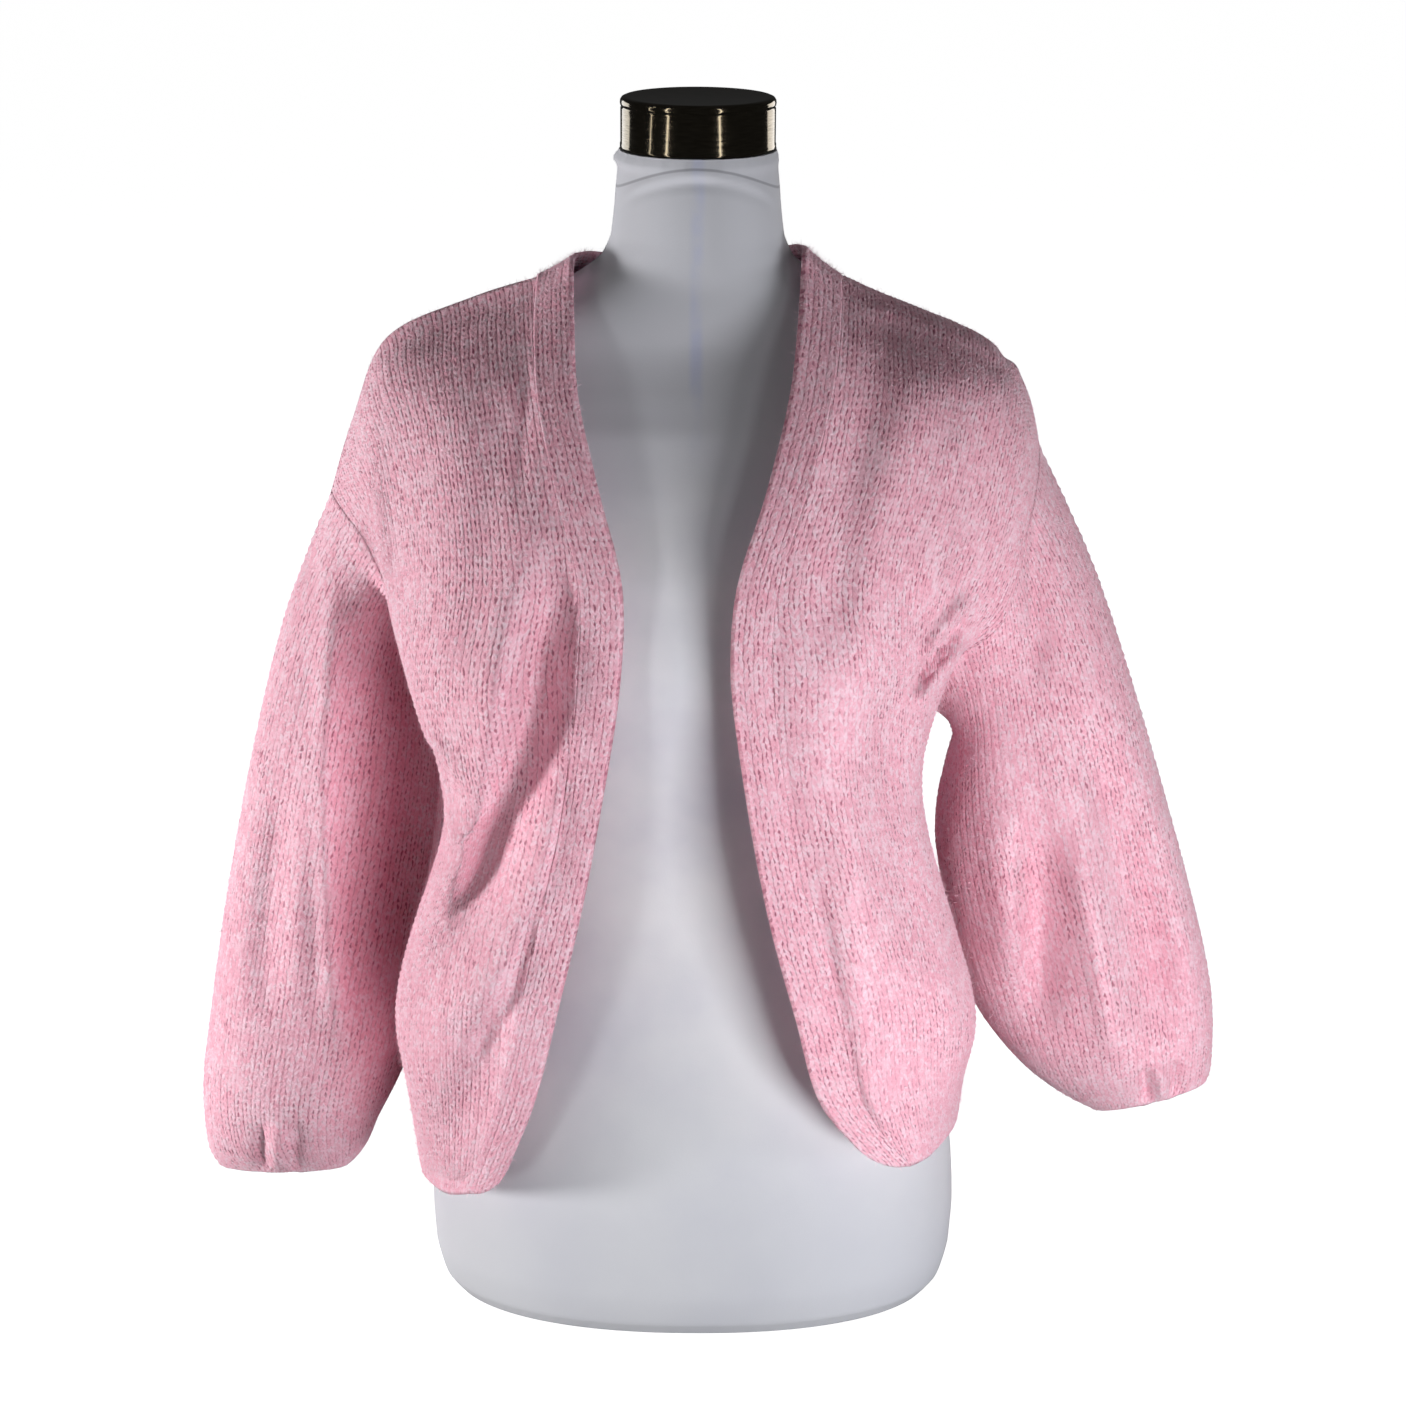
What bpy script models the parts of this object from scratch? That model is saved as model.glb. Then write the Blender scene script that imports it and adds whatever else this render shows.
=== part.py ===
"""An open knitted cardigan with balloon sleeves, on a limbless dress form with a metal neck cap.

Metres, +Z up, -Y to the front, origin in the middle of the form's flat base. Left and right are the wearer's.
Each cloth panel is a grid of points read from a short table of levels, hem to shoulder. Panels share the points
of their seams, and their walls share the seam's directions, so that neighbours stay a hair apart all along.
"""

import bpy
import numpy as np

MM = 0.001
WALL = 3.0 * MM
BAND_WALL = 3.8 * MM
# How far a panel's rims are drawn in from the seam line that it shares with its neighbours.
PANEL_PULL = 0.15 * MM
BAND_PULL = 1.0 * MM
SLEEVE_PULL = 1.1 * MM
# The least gap between cloth and form, and what is added to it on the steep curve of the shoulders.
FORM_CLEARANCE = 0.9 * MM
SHOULDER_SPARE = 1.1 * MM
# Cloth this close to the form's shoulders comes down on them, from this far out of the middle.
SETTLES_WITHIN = 8 * MM
SETTLES_FROM = 100 * MM
SETTLES_OVER = 20 * MM
FACES_UP_FROM = 0.35
FACES_UP_OVER = 0.3
CLEARING_ROUNDS = 6
CLEARING_STEP = 5 * MM
SLOPE_STEP = 0.2 * MM
EASE = 0.45
EASE_ROUNDS = 3

COLLECTION = "cardigan_on_dress_form"
KNIT_PINK = (0.80, 0.42, 0.49, 1.0)
BAND_PINK = (0.82, 0.46, 0.52, 1.0)
FORM_WHITE = (0.72, 0.75, 0.82, 1.0)
CAP_METAL = (0.16, 0.14, 0.12, 1.0)

FORM_SIDES = 40
FORM_ROUNDNESS = 2.2
CAP_RADIUS = 47.8 * MM
CAP_HEIGHT = 31.5 * MM
CAP_EDGE = 2.5 * MM
CAP_SEAT_GAP = 0.3 * MM
CAP_FOOT = 1 * MM
CAP_SIDES = 48
FORM_CREASE = np.radians(50)

# The dress form, base to neck top: height, half width, depth to the front, depth to the back.
FORM_RINGS = (
    (0, 146, 84, 86),
    (4, 158, 94, 96),
    (14, 166, 102, 104),
    (34, 171, 108, 109),
    (70, 172.5, 111, 112),
    (120, 169, 111, 112),
    (170, 159, 107, 106),
    (230, 139, 98, 94),
    (290, 123, 92, 86),
    (350, 123, 98, 88),
    (410, 131, 116, 95),
    (460, 142, 129, 100),
    (510, 157, 122, 103),
    (560, 178, 100, 101),
    (595, 187, 82, 91),
    (615, 189, 68, 78),
    (629, 184, 59, 68),
    (640, 168, 54, 62),
    (652, 138, 52, 59),
    (664, 106, 51, 57),
    (676, 80, 50, 55),
    (690, 60, 50, 53),
    (704, 53.5, 49.5, 51),
    (720, 51.5, 49, 50),
    (738, 50, 48, 48),
    (757, 48, 47.5, 47.5),
)

LEVELS = ("hem", "low", "hip", "waist", "mid", "under", "bust", "chest", "yoke", "crest", "shoulder")
UNDERARM = LEVELS.index("under")
STEPS_BELOW = 3
STEPS_ABOVE = 3
NEAR_SHOULDER_SEAM = (0.62, 0.3)

# One row a level: band edge, band seam, breast, ridge, flank and side, each as x, y and z.
RIGHT_FRONT = (
    ((-121, -121, 119), (-143, -110, 111), (-155, -95, 104), (-167, -68, 97), (-176, -35, 91), (-179, 2, 90)),
    ((-98, -139, 190), (-119, -137, 194), (-148, -130, 190), (-177, -92, 174), (-183, -45, 160), (-180, 5, 150)),
    ((-85, -148, 247), (-107, -146, 248), (-147, -141, 242), (-189, -85, 221), (-184, -38, 214), (-170, 10, 210)),
    ((-69, -151, 318), (-92, -151, 319), (-133, -152, 316), (-172, -85, 288), (-170, -38, 282), (-160, 12, 278)),
    ((-56, -152, 390), (-78, -152, 390), (-111, -153, 386), (-146, -100, 366), (-153, -45, 354), (-150, 12, 345)),
    ((-46, -151, 460), (-69, -152, 461), (-116, -158, 457), (-170, -98, 437), (-171, -54, 416), (-154, 8, 401)),
    ((-45, -147, 518), (-69, -148, 517), (-121, -150, 513), (-178, -86, 491), (-184, -64, 461), (-175, -29, 443)),
    ((-59, -129, 571), (-83, -129, 570), (-129, -125, 565), (-182, -75, 549), (-192, -67, 514), (-187, -49, 484)),
    ((-72, -97, 622), (-95, -96, 620), (-137, -92, 613), (-185, -60, 600), (-199, -54, 565), (-204, -46, 522)),
    ((-75, -67, 657), (-98, -62, 652), (-141, -53, 641), (-190, -38, 621), (-208, -33, 580), (-218, -26, 534)),
    ((-76, -28, 688), (-98, -14, 678), (-142, -3, 662), (-192, 0, 637), (-212, 0, 591), (-228, 0, 540)),
)
LEFT_FRONT = (
    ((112, -129, 141), (136, -116, 134), (149, -98, 132), (163, -68, 133), (170, -35, 128), (175, 2, 125)),
    ((80, -146, 191), (104, -142, 190), (139, -128, 188), (167, -85, 176), (174, -42, 171), (172, 6, 170)),
    ((65, -153, 245), (89, -150, 246), (131, -140, 243), (180, -80, 215), (174, -38, 212), (164, 10, 212)),
    ((46, -154, 318), (69, -152, 318), (113, -148, 315), (160, -78, 285), (158, -35, 282), (148, 12, 280)),
    ((31, -156, 402), (54, -153, 401), (94, -150, 396), (136, -92, 371), (139, -42, 360), (132, 10, 352)),
    ((23, -155, 469), (46, -153, 469), (92, -152, 464), (141, -95, 437), (150, -56, 414), (143, 5, 403)),
    ((26, -148, 518), (49, -147, 517), (98, -142, 515), (149, -95, 494), (163, -74, 461), (157, -38, 441)),
    ((42, -130, 568), (65, -129, 568), (110, -122, 566), (163, -80, 550), (182, -72, 515), (190, -60, 476)),
    ((57, -97, 622), (81, -95, 621), (122, -92, 617), (175, -60, 602), (196, -57, 570), (203, -52, 531)),
    ((62, -66, 660), (86, -62, 652), (126, -53, 641), (184, -38, 621), (203, -34, 592), (210, -28, 557)),
    ((64, -26, 694), (88, -14, 677), (128, -3, 661), (186, 0, 636), (204, 0, 608), (213, 0, 573)),
)
FRONT_STEPS = 4

# The back at each level: y and z at the middle, and how square the curve round to the side seam is.
BACK_MIDDLE = (
    (126, 106, 2.5),
    (134, 158, 2.5),
    (134, 212, 2.4),
    (126, 280, 2.4),
    (120, 350, 2.4),
    (119, 412, 2.5),
    (121, 465, 2.7),
    (118, 520, 2.8),
    (103, 582, 2.7),
    (89, 637, 2.6),
    (72, 655, 2.4),
)
# The back's own armhole at the bust, chest and yoke levels, right and left.
BACK_ARMHOLES = (
    ((-172, 44, 445), (-186, 58, 486), (-203, 48, 522), (-218, 26, 535)),
    ((156, 44, 444), (186, 60, 484), (203, 54, 532), (210, 28, 558)),
)
BACK_NECK_SEAM = ((-93, 18, 676), (-63, 62, 664), (0, 73, 656), (59, 62, 667), (84, 20, 678))
BACK_NECK_EDGE = ((-73, 8, 689), (-51, 49, 681), (0, 63, 678), (49, 48, 686), (64, 12, 694))
NECK_STEPS = 10
BAND_STEPS = 3
BAND_ROLL = 2.5 * MM
BAND_ROLL_TURN = 0.8 * np.pi
ARC_POINTS = 200
# The back's levels stay flat across the middle and rise to the side as this power.
BACK_RISE = 3
# How far round from the middle of the back each stretch starts, as a share of the way to the side.
BACK_SHARES = (0.0, 0.33, 0.48, 0.66, 0.83, 1.0)

# Sleeve sections, shoulder to cuff: middle x, y and z, half width, half depth and the tilt in degrees. The last
# few also rise towards the front of the cuff, by this share of their depth.
RIGHT_SLEEVE = (
    (-213.5, 8, 433, 58, 52, 40),
    (-217, 8, 386, 62, 57, 24),
    (-225.5, 10, 335, 64.5, 58, 16),
    (-234.5, 12, 280, 66.5, 59, 13),
    (-243, 12, 225, 68, 60, 11),
    (-252, 12, 176, 66, 58, 9),
    (-261.5, 12, 140, 62.5, 54, 5),
    (-268, 12, 112, 56.5, 46, 2),
    (-271, 12, 92, 52, 37, 0),
    (-273.5, 12, 81, 47, 29, 0),
    (-274, 12, 74.5, 40.5, 23.5, 0),
)
LEFT_SLEEVE = (
    (208.5, 5, 443, 70, 52, 54),
    (215.5, 4, 393, 71.5, 59, 39),
    (223.5, 6, 349, 75, 61, 29),
    (234, 8, 306, 76, 61, 20),
    (244, 8, 266, 78, 60, 16),
    (255.5, 8, 226, 78, 58, 10),
    (267, 8, 190, 74, 54, 4),
    (281, 8, 160, 61, 44, 8),
    (293, 8, 143, 49.5, 33, 12),
    (300.5, 8, 135, 42, 28, 15),
    (303, 8, 130, 36, 24, 16),
)
CUFF_RISE = (0, 0, 0, 0, 0, 0, 0.03, 0.08, 0.15, 0.2, 0.22)
SLEEVE_ROWS = (0, 0.55, 1.1, 1.65, 2.3, 3, 3.8, 4.6, 5.4, 6, 6.5, 7, 7.5, 8, 8.5, 9, 9.5, 10.2, 11)

# The largest folds: piece, height of the ridge (or depth of the trough, below zero), half width, and the
# line that it follows as x and z, seen from the front.
FOLDS = (
    ("front_right", -10, 22, ((-84, 480), (-108, 400), (-130, 330), (-152, 272), (-168, 235))),
    ("front_right", 7, 20, ((-98, 372), (-128, 296), (-158, 240))),
    ("front_right", 6, 20, ((-134, 500), (-140, 430), (-150, 385))),
    ("front_left", -6, 22, ((100, 430), (108, 350), (124, 280), (144, 215))),
    ("front_left", -5, 20, ((150, 480), (134, 425), (112, 385))),
    ("sleeve_left", -8, 20, ((217, 410), (221, 300), (218, 225))),
    ("sleeve_left", 6, 20, ((254, 360), (266, 250), (270, 200))),
    ("sleeve_left", -6, 20, ((290, 320), (303, 240), (305, 200))),
    ("sleeve_right", -6, 22, ((-236, 470), (-246, 330), (-262, 190))),
)
# How fast a fold dies away where its piece turns from the front to the side.
FOLD_FACING = 2.0

SLEEVES = ("sleeve_right", "sleeve_left")
# Which way a grid's own rows and columns make its directions point.
OUTWARD = {"front_right": -1, "front_left": 1, "back": -1, "sleeve_right": 1, "sleeve_left": -1, "band": 1}
# How much more a sleeve counts than a front or the back, in the direction of their common underarm point.
UNDERARM_WEIGHT = 3


def spline(points, at):
    """Points on a smooth curve through the given ones, where `at` counts along them from 0."""
    points = np.asarray(points, float)
    at = np.asarray(at, float)
    ahead = np.linalg.norm(np.diff(points, axis=0), axis=-1) ** 0.5 + 1e-9
    ahead = ahead[..., None]
    slope = np.diff(points, axis=0) / ahead
    tangent = np.empty_like(points)
    tangent[1:-1] = (slope[:-1] * ahead[1:] + slope[1:] * ahead[:-1]) / (ahead[:-1] + ahead[1:])
    tangent[0] = 1.5 * slope[0] - 0.5 * tangent[1]
    tangent[-1] = 1.5 * slope[-1] - 0.5 * tangent[-2]
    first = np.clip(np.floor(at).astype(int), 0, len(points) - 2)
    part = (at - first).reshape((-1,) + (1,) * (points.ndim - 1))
    start, end, step = points[first], points[first + 1], ahead[first]
    return (
        (2 * part**3 - 3 * part**2 + 1) * start
        + (part**3 - 2 * part**2 + part) * step * tangent[first]
        + (3 * part**2 - 2 * part**3) * end
        + (part**3 - part**2) * step * tangent[first + 1]
    )


def form_ring(height):
    """Half width, front depth and back depth of the dress form at each height."""
    table = np.array(FORM_RINGS, float) * MM
    places = np.interp(height, table[:, 0], np.arange(len(table)))
    return spline(table[:, 1:], np.ravel(places)).reshape(np.shape(height) + (3,))


def outside_form(points):
    """How far outside the form's surface each point is, roughly in metres, and the way out."""

    def level(p):
        half, front, back = np.moveaxis(form_ring(np.clip(p[..., 2], 0, FORM_RINGS[-1][0] * MM)), -1, 0)
        depth = np.where(p[..., 1] < 0, front, back)
        across = np.abs(p[..., 0] / half) ** FORM_ROUNDNESS + np.abs(p[..., 1] / depth) ** FORM_ROUNDNESS
        return across ** (1 / FORM_ROUNDNESS)

    slopes = [level(points + SLOPE_STEP * axis) - level(points - SLOPE_STEP * axis) for axis in np.eye(3)]
    way = np.stack(slopes, -1) / (2 * SLOPE_STEP)
    steep = np.linalg.norm(way, axis=-1)
    return (level(points) - 1) / steep, way / steep[..., None]


def lay_on_form(points, wall):
    """Settles the cloth on the form's shoulders, and moves it out of the form wherever it would touch."""
    gap, way = outside_form(points)
    facing_up = np.clip((way[..., 2] - FACES_UP_FROM) / FACES_UP_OVER, 0, 1)
    least = wall / 2 + FORM_CLEARANCE + SHOULDER_SPARE * facing_up
    facing_up *= np.clip((np.abs(points[..., 0]) - SETTLES_FROM) / SETTLES_OVER, 0, 1)
    close = np.clip((SETTLES_WITHIN - gap) / (SETTLES_WITHIN / 2), 0, 1)
    points = points - ((gap - least) * facing_up * close)[..., None] * way
    for _ in range(CLEARING_ROUNDS):
        gap, way = outside_form(points)
        points = points + np.clip(least - gap, 0, CLEARING_STEP)[..., None] * way
    return points


def eased(grid):
    """Evens out a grid between its edges, as knitted cloth bridges small hollows."""
    grid = grid.copy()
    around = grid[:-2, 1:-1] + grid[2:, 1:-1] + grid[1:-1, :-2] + grid[1:-1, 2:]
    grid[1:-1, 1:-1] += EASE * (around / 4 - grid[1:-1, 1:-1])
    return grid


def distance_to_line(points, line):
    """Distance seen from the front, in x and z, from each point to a line of straight stretches."""
    flat = points[..., [0, 2]]
    line = np.array(line, float) * MM
    nearest = np.full(flat.shape[:-1], np.inf)
    for start, end in zip(line[:-1], line[1:]):
        along = end - start
        share = np.clip(((flat - start) @ along) / (along @ along), 0, 1)
        nearest = np.minimum(nearest, np.linalg.norm(flat - start - share[..., None] * along, axis=-1))
    return nearest


def grid_normals(grid, closed):
    """The direction out of the cloth at each point of a grid of rows by columns."""
    if closed:
        along = np.roll(grid, -1, 1) - np.roll(grid, 1, 1)
    else:
        along = np.gradient(grid, axis=1)
    across = np.cross(along, np.gradient(grid, axis=0))
    return across / np.linalg.norm(across, axis=-1, keepdims=True)


def outward_normals(name, grid):
    return grid_normals(grid, name in SLEEVES) * OUTWARD[name]


def folded(name, grid):
    """Raises the ridges and sinks the troughs of one piece, on the side that faces the front."""
    normal = outward_normals(name, grid)
    front = np.clip(-normal[..., 1] * FOLD_FACING, 0, 1)
    for piece, height, half_width, line in FOLDS:
        if piece == name:
            near = np.exp(-((distance_to_line(grid, line) / (half_width * MM)) ** 2))
            grid = grid + (height * MM * near * front)[..., None] * normal
    return grid


def level_places():
    """Where the rows of a panel lie, counted in levels."""
    below = np.linspace(0, UNDERARM, UNDERARM * STEPS_BELOW + 1)
    above = np.linspace(UNDERARM, len(LEVELS) - 1, (len(LEVELS) - 1 - UNDERARM) * STEPS_ABOVE + 1)
    above[-3:-1] = len(LEVELS) - 1 - np.array(NEAR_SHOULDER_SEAM)
    return np.concatenate([below, above[1:]])


def front_rows(table):
    """The panel's table at each level, with its full number of columns, seam to side."""
    table = np.array(table, float) * MM
    stretches = table.shape[1] - 2
    columns = np.linspace(0, stretches, stretches * FRONT_STEPS + 1)
    return np.stack([spline(row[1:], columns) for row in table])


def back_half(table, rows, side_sign):
    """Half of the back at each level, from the middle to the side seam of the given front."""
    side = np.array(table, float)[:, 5] * MM
    side[UNDERARM + 1 : -1] = np.array(BACK_ARMHOLES[0 if side_sign < 0 else 1], float) * MM
    shares = [np.linspace(BACK_SHARES[0], BACK_SHARES[1], NECK_STEPS // 2 + 1)]
    for start, end in zip(BACK_SHARES[1:-1], BACK_SHARES[2:]):
        shares.append(np.linspace(start, end, FRONT_STEPS + 1)[1:])
    shares = np.concatenate(shares)
    turn = np.linspace(0, np.pi / 2, ARC_POINTS)
    half = []
    for (middle_y, middle_z, square), (x, y, z) in zip(BACK_MIDDLE, side):
        behind = np.cos(turn).clip(0) ** (2 / square)
        level_y = y + (middle_y * MM - y) * behind
        level_z = middle_z * MM + (z - middle_z * MM) * np.sin(turn) ** BACK_RISE
        arc = np.stack([x * np.sin(turn) ** (2 / square), level_y, level_z], -1)
        along = np.concatenate([[0], np.cumsum(np.linalg.norm(np.diff(arc, axis=0), axis=1))])
        half.append(np.stack([np.interp(shares * along[-1], along, line) for line in arc.T], -1))
    half = np.stack(half)
    neck = np.array(BACK_NECK_SEAM, float)[::side_sign] * MM
    neck_point = rows[-1, 0]
    curve = np.vstack([[neck[2]], [neck[3]], [neck[4]], [neck_point]])
    half[-1, : NECK_STEPS // 2 + 1] = spline(curve, np.linspace(0, 3, NECK_STEPS // 2 + 1))
    half[-1, NECK_STEPS // 2 :] = rows[-1]
    return half


def joined_rows(rows):
    """A panel's levels, read as smooth curves at every row."""
    return spline(rows, level_places())


def sleeve_rings(armhole, table):
    """A sleeve from its armhole's ring, underarm first and then up the front, to its cuff."""
    sign = 1 if table[0][0] < 0 else -1
    ends = np.vstack([armhole, armhole[:1]])
    along = np.concatenate([[0], np.cumsum(np.linalg.norm(np.diff(ends, axis=0), axis=1))])
    head = along[len(armhole) // 2]
    around = np.interp(along[:-1], (0, head, along[-1]), (0, np.pi, 2 * np.pi))
    rings = [armhole]
    for (x, y, z, half_width, half_depth, tilt), rise in zip(table, CUFF_RISE):
        lean = np.radians(tilt)
        inward = np.array([sign * np.cos(lean), 0, -np.sin(lean)])
        to_front = np.array([0, -1, rise])
        middle = np.array([x, y, z]) * MM
        ring = middle + MM * (
            half_width * np.cos(around)[:, None] * inward + half_depth * np.sin(around)[:, None] * to_front
        )
        rings.append(ring)
    return spline(np.stack(rings), SLEEVE_ROWS)


def band_grid(fronts, neck_row):
    """The band from the right hem, up, round the back of the neck and down to the left hem."""
    places = level_places()
    edges = [spline(np.array(table, float)[:, 0] * MM, places) for table in (RIGHT_FRONT, LEFT_FRONT)]
    neck = np.vstack([[edges[0][-1]], np.array(BACK_NECK_EDGE, float) * MM, [edges[1][-1]]])
    neck = spline(neck, np.linspace(0, 6, NECK_STEPS + 1))
    edge = np.vstack([edges[0], neck[1:-1], edges[1][::-1]])
    seam = np.vstack([fronts[0][:, 0], neck_row[1:-1], fronts[1][::-1, 0]])
    share = np.linspace(0, 1, BAND_STEPS + 1)[None, :, None]
    grid = seam[:, None] + (edge - seam)[:, None] * share
    return grid + BAND_ROLL * np.sin(share * BAND_ROLL_TURN) * outward_normals("band", grid)


def cloth_grids():
    """Every cloth piece's middle surface, as rows by columns of points, sharing their seams."""
    right_rows, left_rows = front_rows(RIGHT_FRONT), front_rows(LEFT_FRONT)
    right, left = joined_rows(right_rows), joined_rows(left_rows)
    right_half = back_half(RIGHT_FRONT, right_rows, -1)
    left_half = back_half(LEFT_FRONT, left_rows, 1)
    back = joined_rows(np.concatenate([right_half[:, ::-1], left_half[:, 1:]], axis=1))
    first = UNDERARM * STEPS_BELOW
    for front, column in ((right, 0), (left, -1)):
        seam = (front[: first + 1, -1] + back[: first + 1, column]) / 2
        front[: first + 1, -1] = seam
        back[: first + 1, column] = seam
    grids = {"front_right": right, "front_left": left, "back": back}
    for name, front, back_side, table in (
        ("sleeve_right", right, back[:, 0], RIGHT_SLEEVE),
        ("sleeve_left", left, back[:, -1], LEFT_SLEEVE),
    ):
        armhole = np.vstack([front[first:, -1], back_side[first + 1 : -1][::-1]])
        grids[name] = sleeve_rings(armhole, table)
    neck_start = (back.shape[1] - 1 - NECK_STEPS) // 2
    neck_row = back[-1, neck_start : neck_start + NECK_STEPS + 1]
    grids["band"] = band_grid((right, left), neck_row)
    return grids


def shape_grids():
    """The cloth with its folds, laid clear of the form, its shared seams still shared."""
    grids = cloth_grids()
    keys = {}
    for name, grid in grids.items():
        for row, column in np.ndindex(grid.shape[:2]):
            keys.setdefault(tuple(np.round(grid[row, column] / MM, 3)), []).append((name, row, column))
        grids[name] = folded(name, grid)
    for shared in keys.values():
        mean = np.mean([grids[name][row, column] for name, row, column in shared], axis=0)
        for name, row, column in shared:
            grids[name][row, column] = mean
    for name, grid in grids.items():
        for _ in range(EASE_ROUNDS):
            grid = eased(lay_on_form(grid, BAND_WALL))
        grids[name] = lay_on_form(grid, BAND_WALL)
    normals = {name: outward_normals(name, grid) for name, grid in grids.items()}
    for shared in keys.values():
        mean = np.zeros(3)
        for name, row, column in shared:
            heavy = name in SLEEVES and len(shared) == 3
            mean += normals[name][row, column] * (UNDERARM_WEIGHT if heavy else 1)
        mean /= np.linalg.norm(mean)
        for name, row, column in shared:
            normals[name][row, column] = mean
    return grids, normals


def drawn_in(grid, closed, pull):
    """Pulls a panel's outermost points in, by its share of the gap that a seam keeps."""
    grid = grid.copy()
    sides = [(0, 1, 0), (-1, -2, 0)] if closed else [(0, 1, 0), (-1, -2, 0), (0, 1, 1), (-1, -2, 1)]
    for outer, inner, axis in sides:
        lines = np.moveaxis(grid, axis, 0)
        way = lines[inner] - lines[outer]
        lines[outer] += pull * way / np.linalg.norm(way, axis=-1, keepdims=True)
    return grid


def wall_mesh(name, grid, normals, wall):
    """A closed wall round a grid: an outer face, an inner face and the rims between them."""
    closed = name in SLEEVES
    pull = BAND_PULL if name == "band" else SLEEVE_PULL if closed else PANEL_PULL
    grid = drawn_in(grid, closed, pull)
    rows, columns = grid.shape[:2]
    outer = (grid + wall / 2 * normals).reshape(-1, 3)
    inner = (grid - wall / 2 * normals).reshape(-1, 3)
    count = rows * columns
    last = columns if closed else columns - 1
    quads = []
    for row in range(rows - 1):
        for column in range(last):
            beside = (column + 1) % columns
            a, b = row * columns + column, row * columns + beside
            c, d = b + columns, a + columns
            quads.append((a, b, c, d))
            quads.append((count + d, count + c, count + b, count + a))
    rims = []
    for row in (0, rows - 1):
        for column in range(last):
            rims.append((row * columns + column, row * columns + (column + 1) % columns, row == 0))
    if not closed:
        for column in (0, columns - 1):
            for row in range(rows - 1):
                rims.append((row * columns + column, (row + 1) * columns + column, column != 0))
    for a, b, forward in rims:
        rim = (b, a, count + a, count + b)
        quads.append(rim if forward else rim[::-1])
    if OUTWARD[name] < 0:
        quads = [quad[::-1] for quad in quads]
    mesh = bpy.data.meshes.new(name)
    mesh.from_pydata(np.vstack([outer, inner]).tolist(), [], quads)
    mesh.shade_smooth()
    return mesh


def material(name, colour, roughness, metallic=0.0):
    made = bpy.data.materials.new(name)
    made.use_nodes = True
    shader = made.node_tree.nodes["Principled BSDF"]
    shader.inputs["Base Color"].default_value = colour
    shader.inputs["Roughness"].default_value = roughness
    shader.inputs["Metallic"].default_value = metallic
    return made


def place(collection, name, mesh, finish):
    made = bpy.data.objects.new(name, mesh)
    mesh.materials.append(finish)
    collection.objects.link(made)
    return made


def form_torso(collection):
    """The form's smooth body: rings of a rounded oval, closed flat at the base and the neck."""
    around = np.arange(FORM_SIDES) / FORM_SIDES * 2 * np.pi
    heights = np.array([ring[0] for ring in FORM_RINGS], float) * MM
    rings = []
    for height, (half, front, back) in zip(heights, form_ring(heights)):
        power = 2 / FORM_ROUNDNESS
        x = half * np.sign(np.cos(around)) * np.abs(np.cos(around)) ** power
        depth = np.where(np.sin(around) < 0, front, back)
        y = depth * np.sign(np.sin(around)) * np.abs(np.sin(around)) ** power
        rings.append(np.stack([x, y, np.full(FORM_SIDES, height)], -1))
    points = np.concatenate(rings)
    faces = [tuple(range(FORM_SIDES))[::-1]]
    for ring in range(len(rings) - 1):
        for side in range(FORM_SIDES):
            beside = (side + 1) % FORM_SIDES
            low, high = ring * FORM_SIDES, (ring + 1) * FORM_SIDES
            faces.append((low + side, low + beside, high + beside, high + side))
    top = (len(rings) - 1) * FORM_SIDES
    faces.append(tuple(top + side for side in range(FORM_SIDES)))
    mesh = bpy.data.meshes.new("form_torso")
    mesh.from_pydata(points.tolist(), [], faces)
    mesh.shade_smooth()
    mesh.set_sharp_from_angle(angle=FORM_CREASE)
    return place(collection, "form_torso", mesh, material("form_jersey", FORM_WHITE, 0.85))


def form_neck_cap(collection):
    """The turned metal cap: its profile runs down its outer side and is screwed round."""
    top = FORM_RINGS[-1][0] * MM + CAP_SEAT_GAP + CAP_HEIGHT
    low = top - CAP_HEIGHT
    corner = [
        (CAP_RADIUS - CAP_EDGE + CAP_EDGE * np.sin(turn), top - CAP_EDGE + CAP_EDGE * np.cos(turn))
        for turn in np.radians((0, 30, 60, 90))
    ]
    foot = [(CAP_RADIUS, low + CAP_FOOT), (CAP_RADIUS - CAP_FOOT, low)]
    profile = [(0.0, top), *corner, *foot, (0.0, low)]
    mesh = bpy.data.meshes.new("form_neck_cap")
    edges = [(start, start + 1) for start in range(len(profile) - 1)]
    mesh.from_pydata([(x, 0.0, z) for x, z in profile], edges, [])
    cap = place(collection, "form_neck_cap", mesh, material("cap_metal", CAP_METAL, 0.25, 1.0))
    turned = cap.modifiers.new("turned", "SCREW")
    turned.steps = CAP_SIDES
    turned.render_steps = CAP_SIDES
    turned.use_merge_vertices = True
    turned.merge_threshold = 0.1 * MM
    return cap


def main():
    for old in list(bpy.data.objects):
        bpy.data.objects.remove(old)
    collection = bpy.data.collections.new(COLLECTION)
    bpy.context.scene.collection.children.link(collection)
    form_torso(collection)
    form_neck_cap(collection)
    grids, normals = shape_grids()
    for name, grid in grids.items():
        wall, colour = (BAND_WALL, BAND_PINK) if name == "band" else (WALL, KNIT_PINK)
        mesh = wall_mesh(name, grid, normals[name], wall)
        place(collection, name, mesh, material(name + "_knit", colour, 0.95))


main()
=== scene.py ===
"""An open pink knitted cardigan with balloon sleeves on a limbless dress form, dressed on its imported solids.

Metres, +Z up, -Y to the front. Left and right are the wearer's. Every cloth piece is knitted stitch by stitch
on the same surface that its solid has, so its ribs run in real wales and courses.
"""

import math

import bpy
import numpy as np
from mathutils import Matrix, Vector


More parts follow.
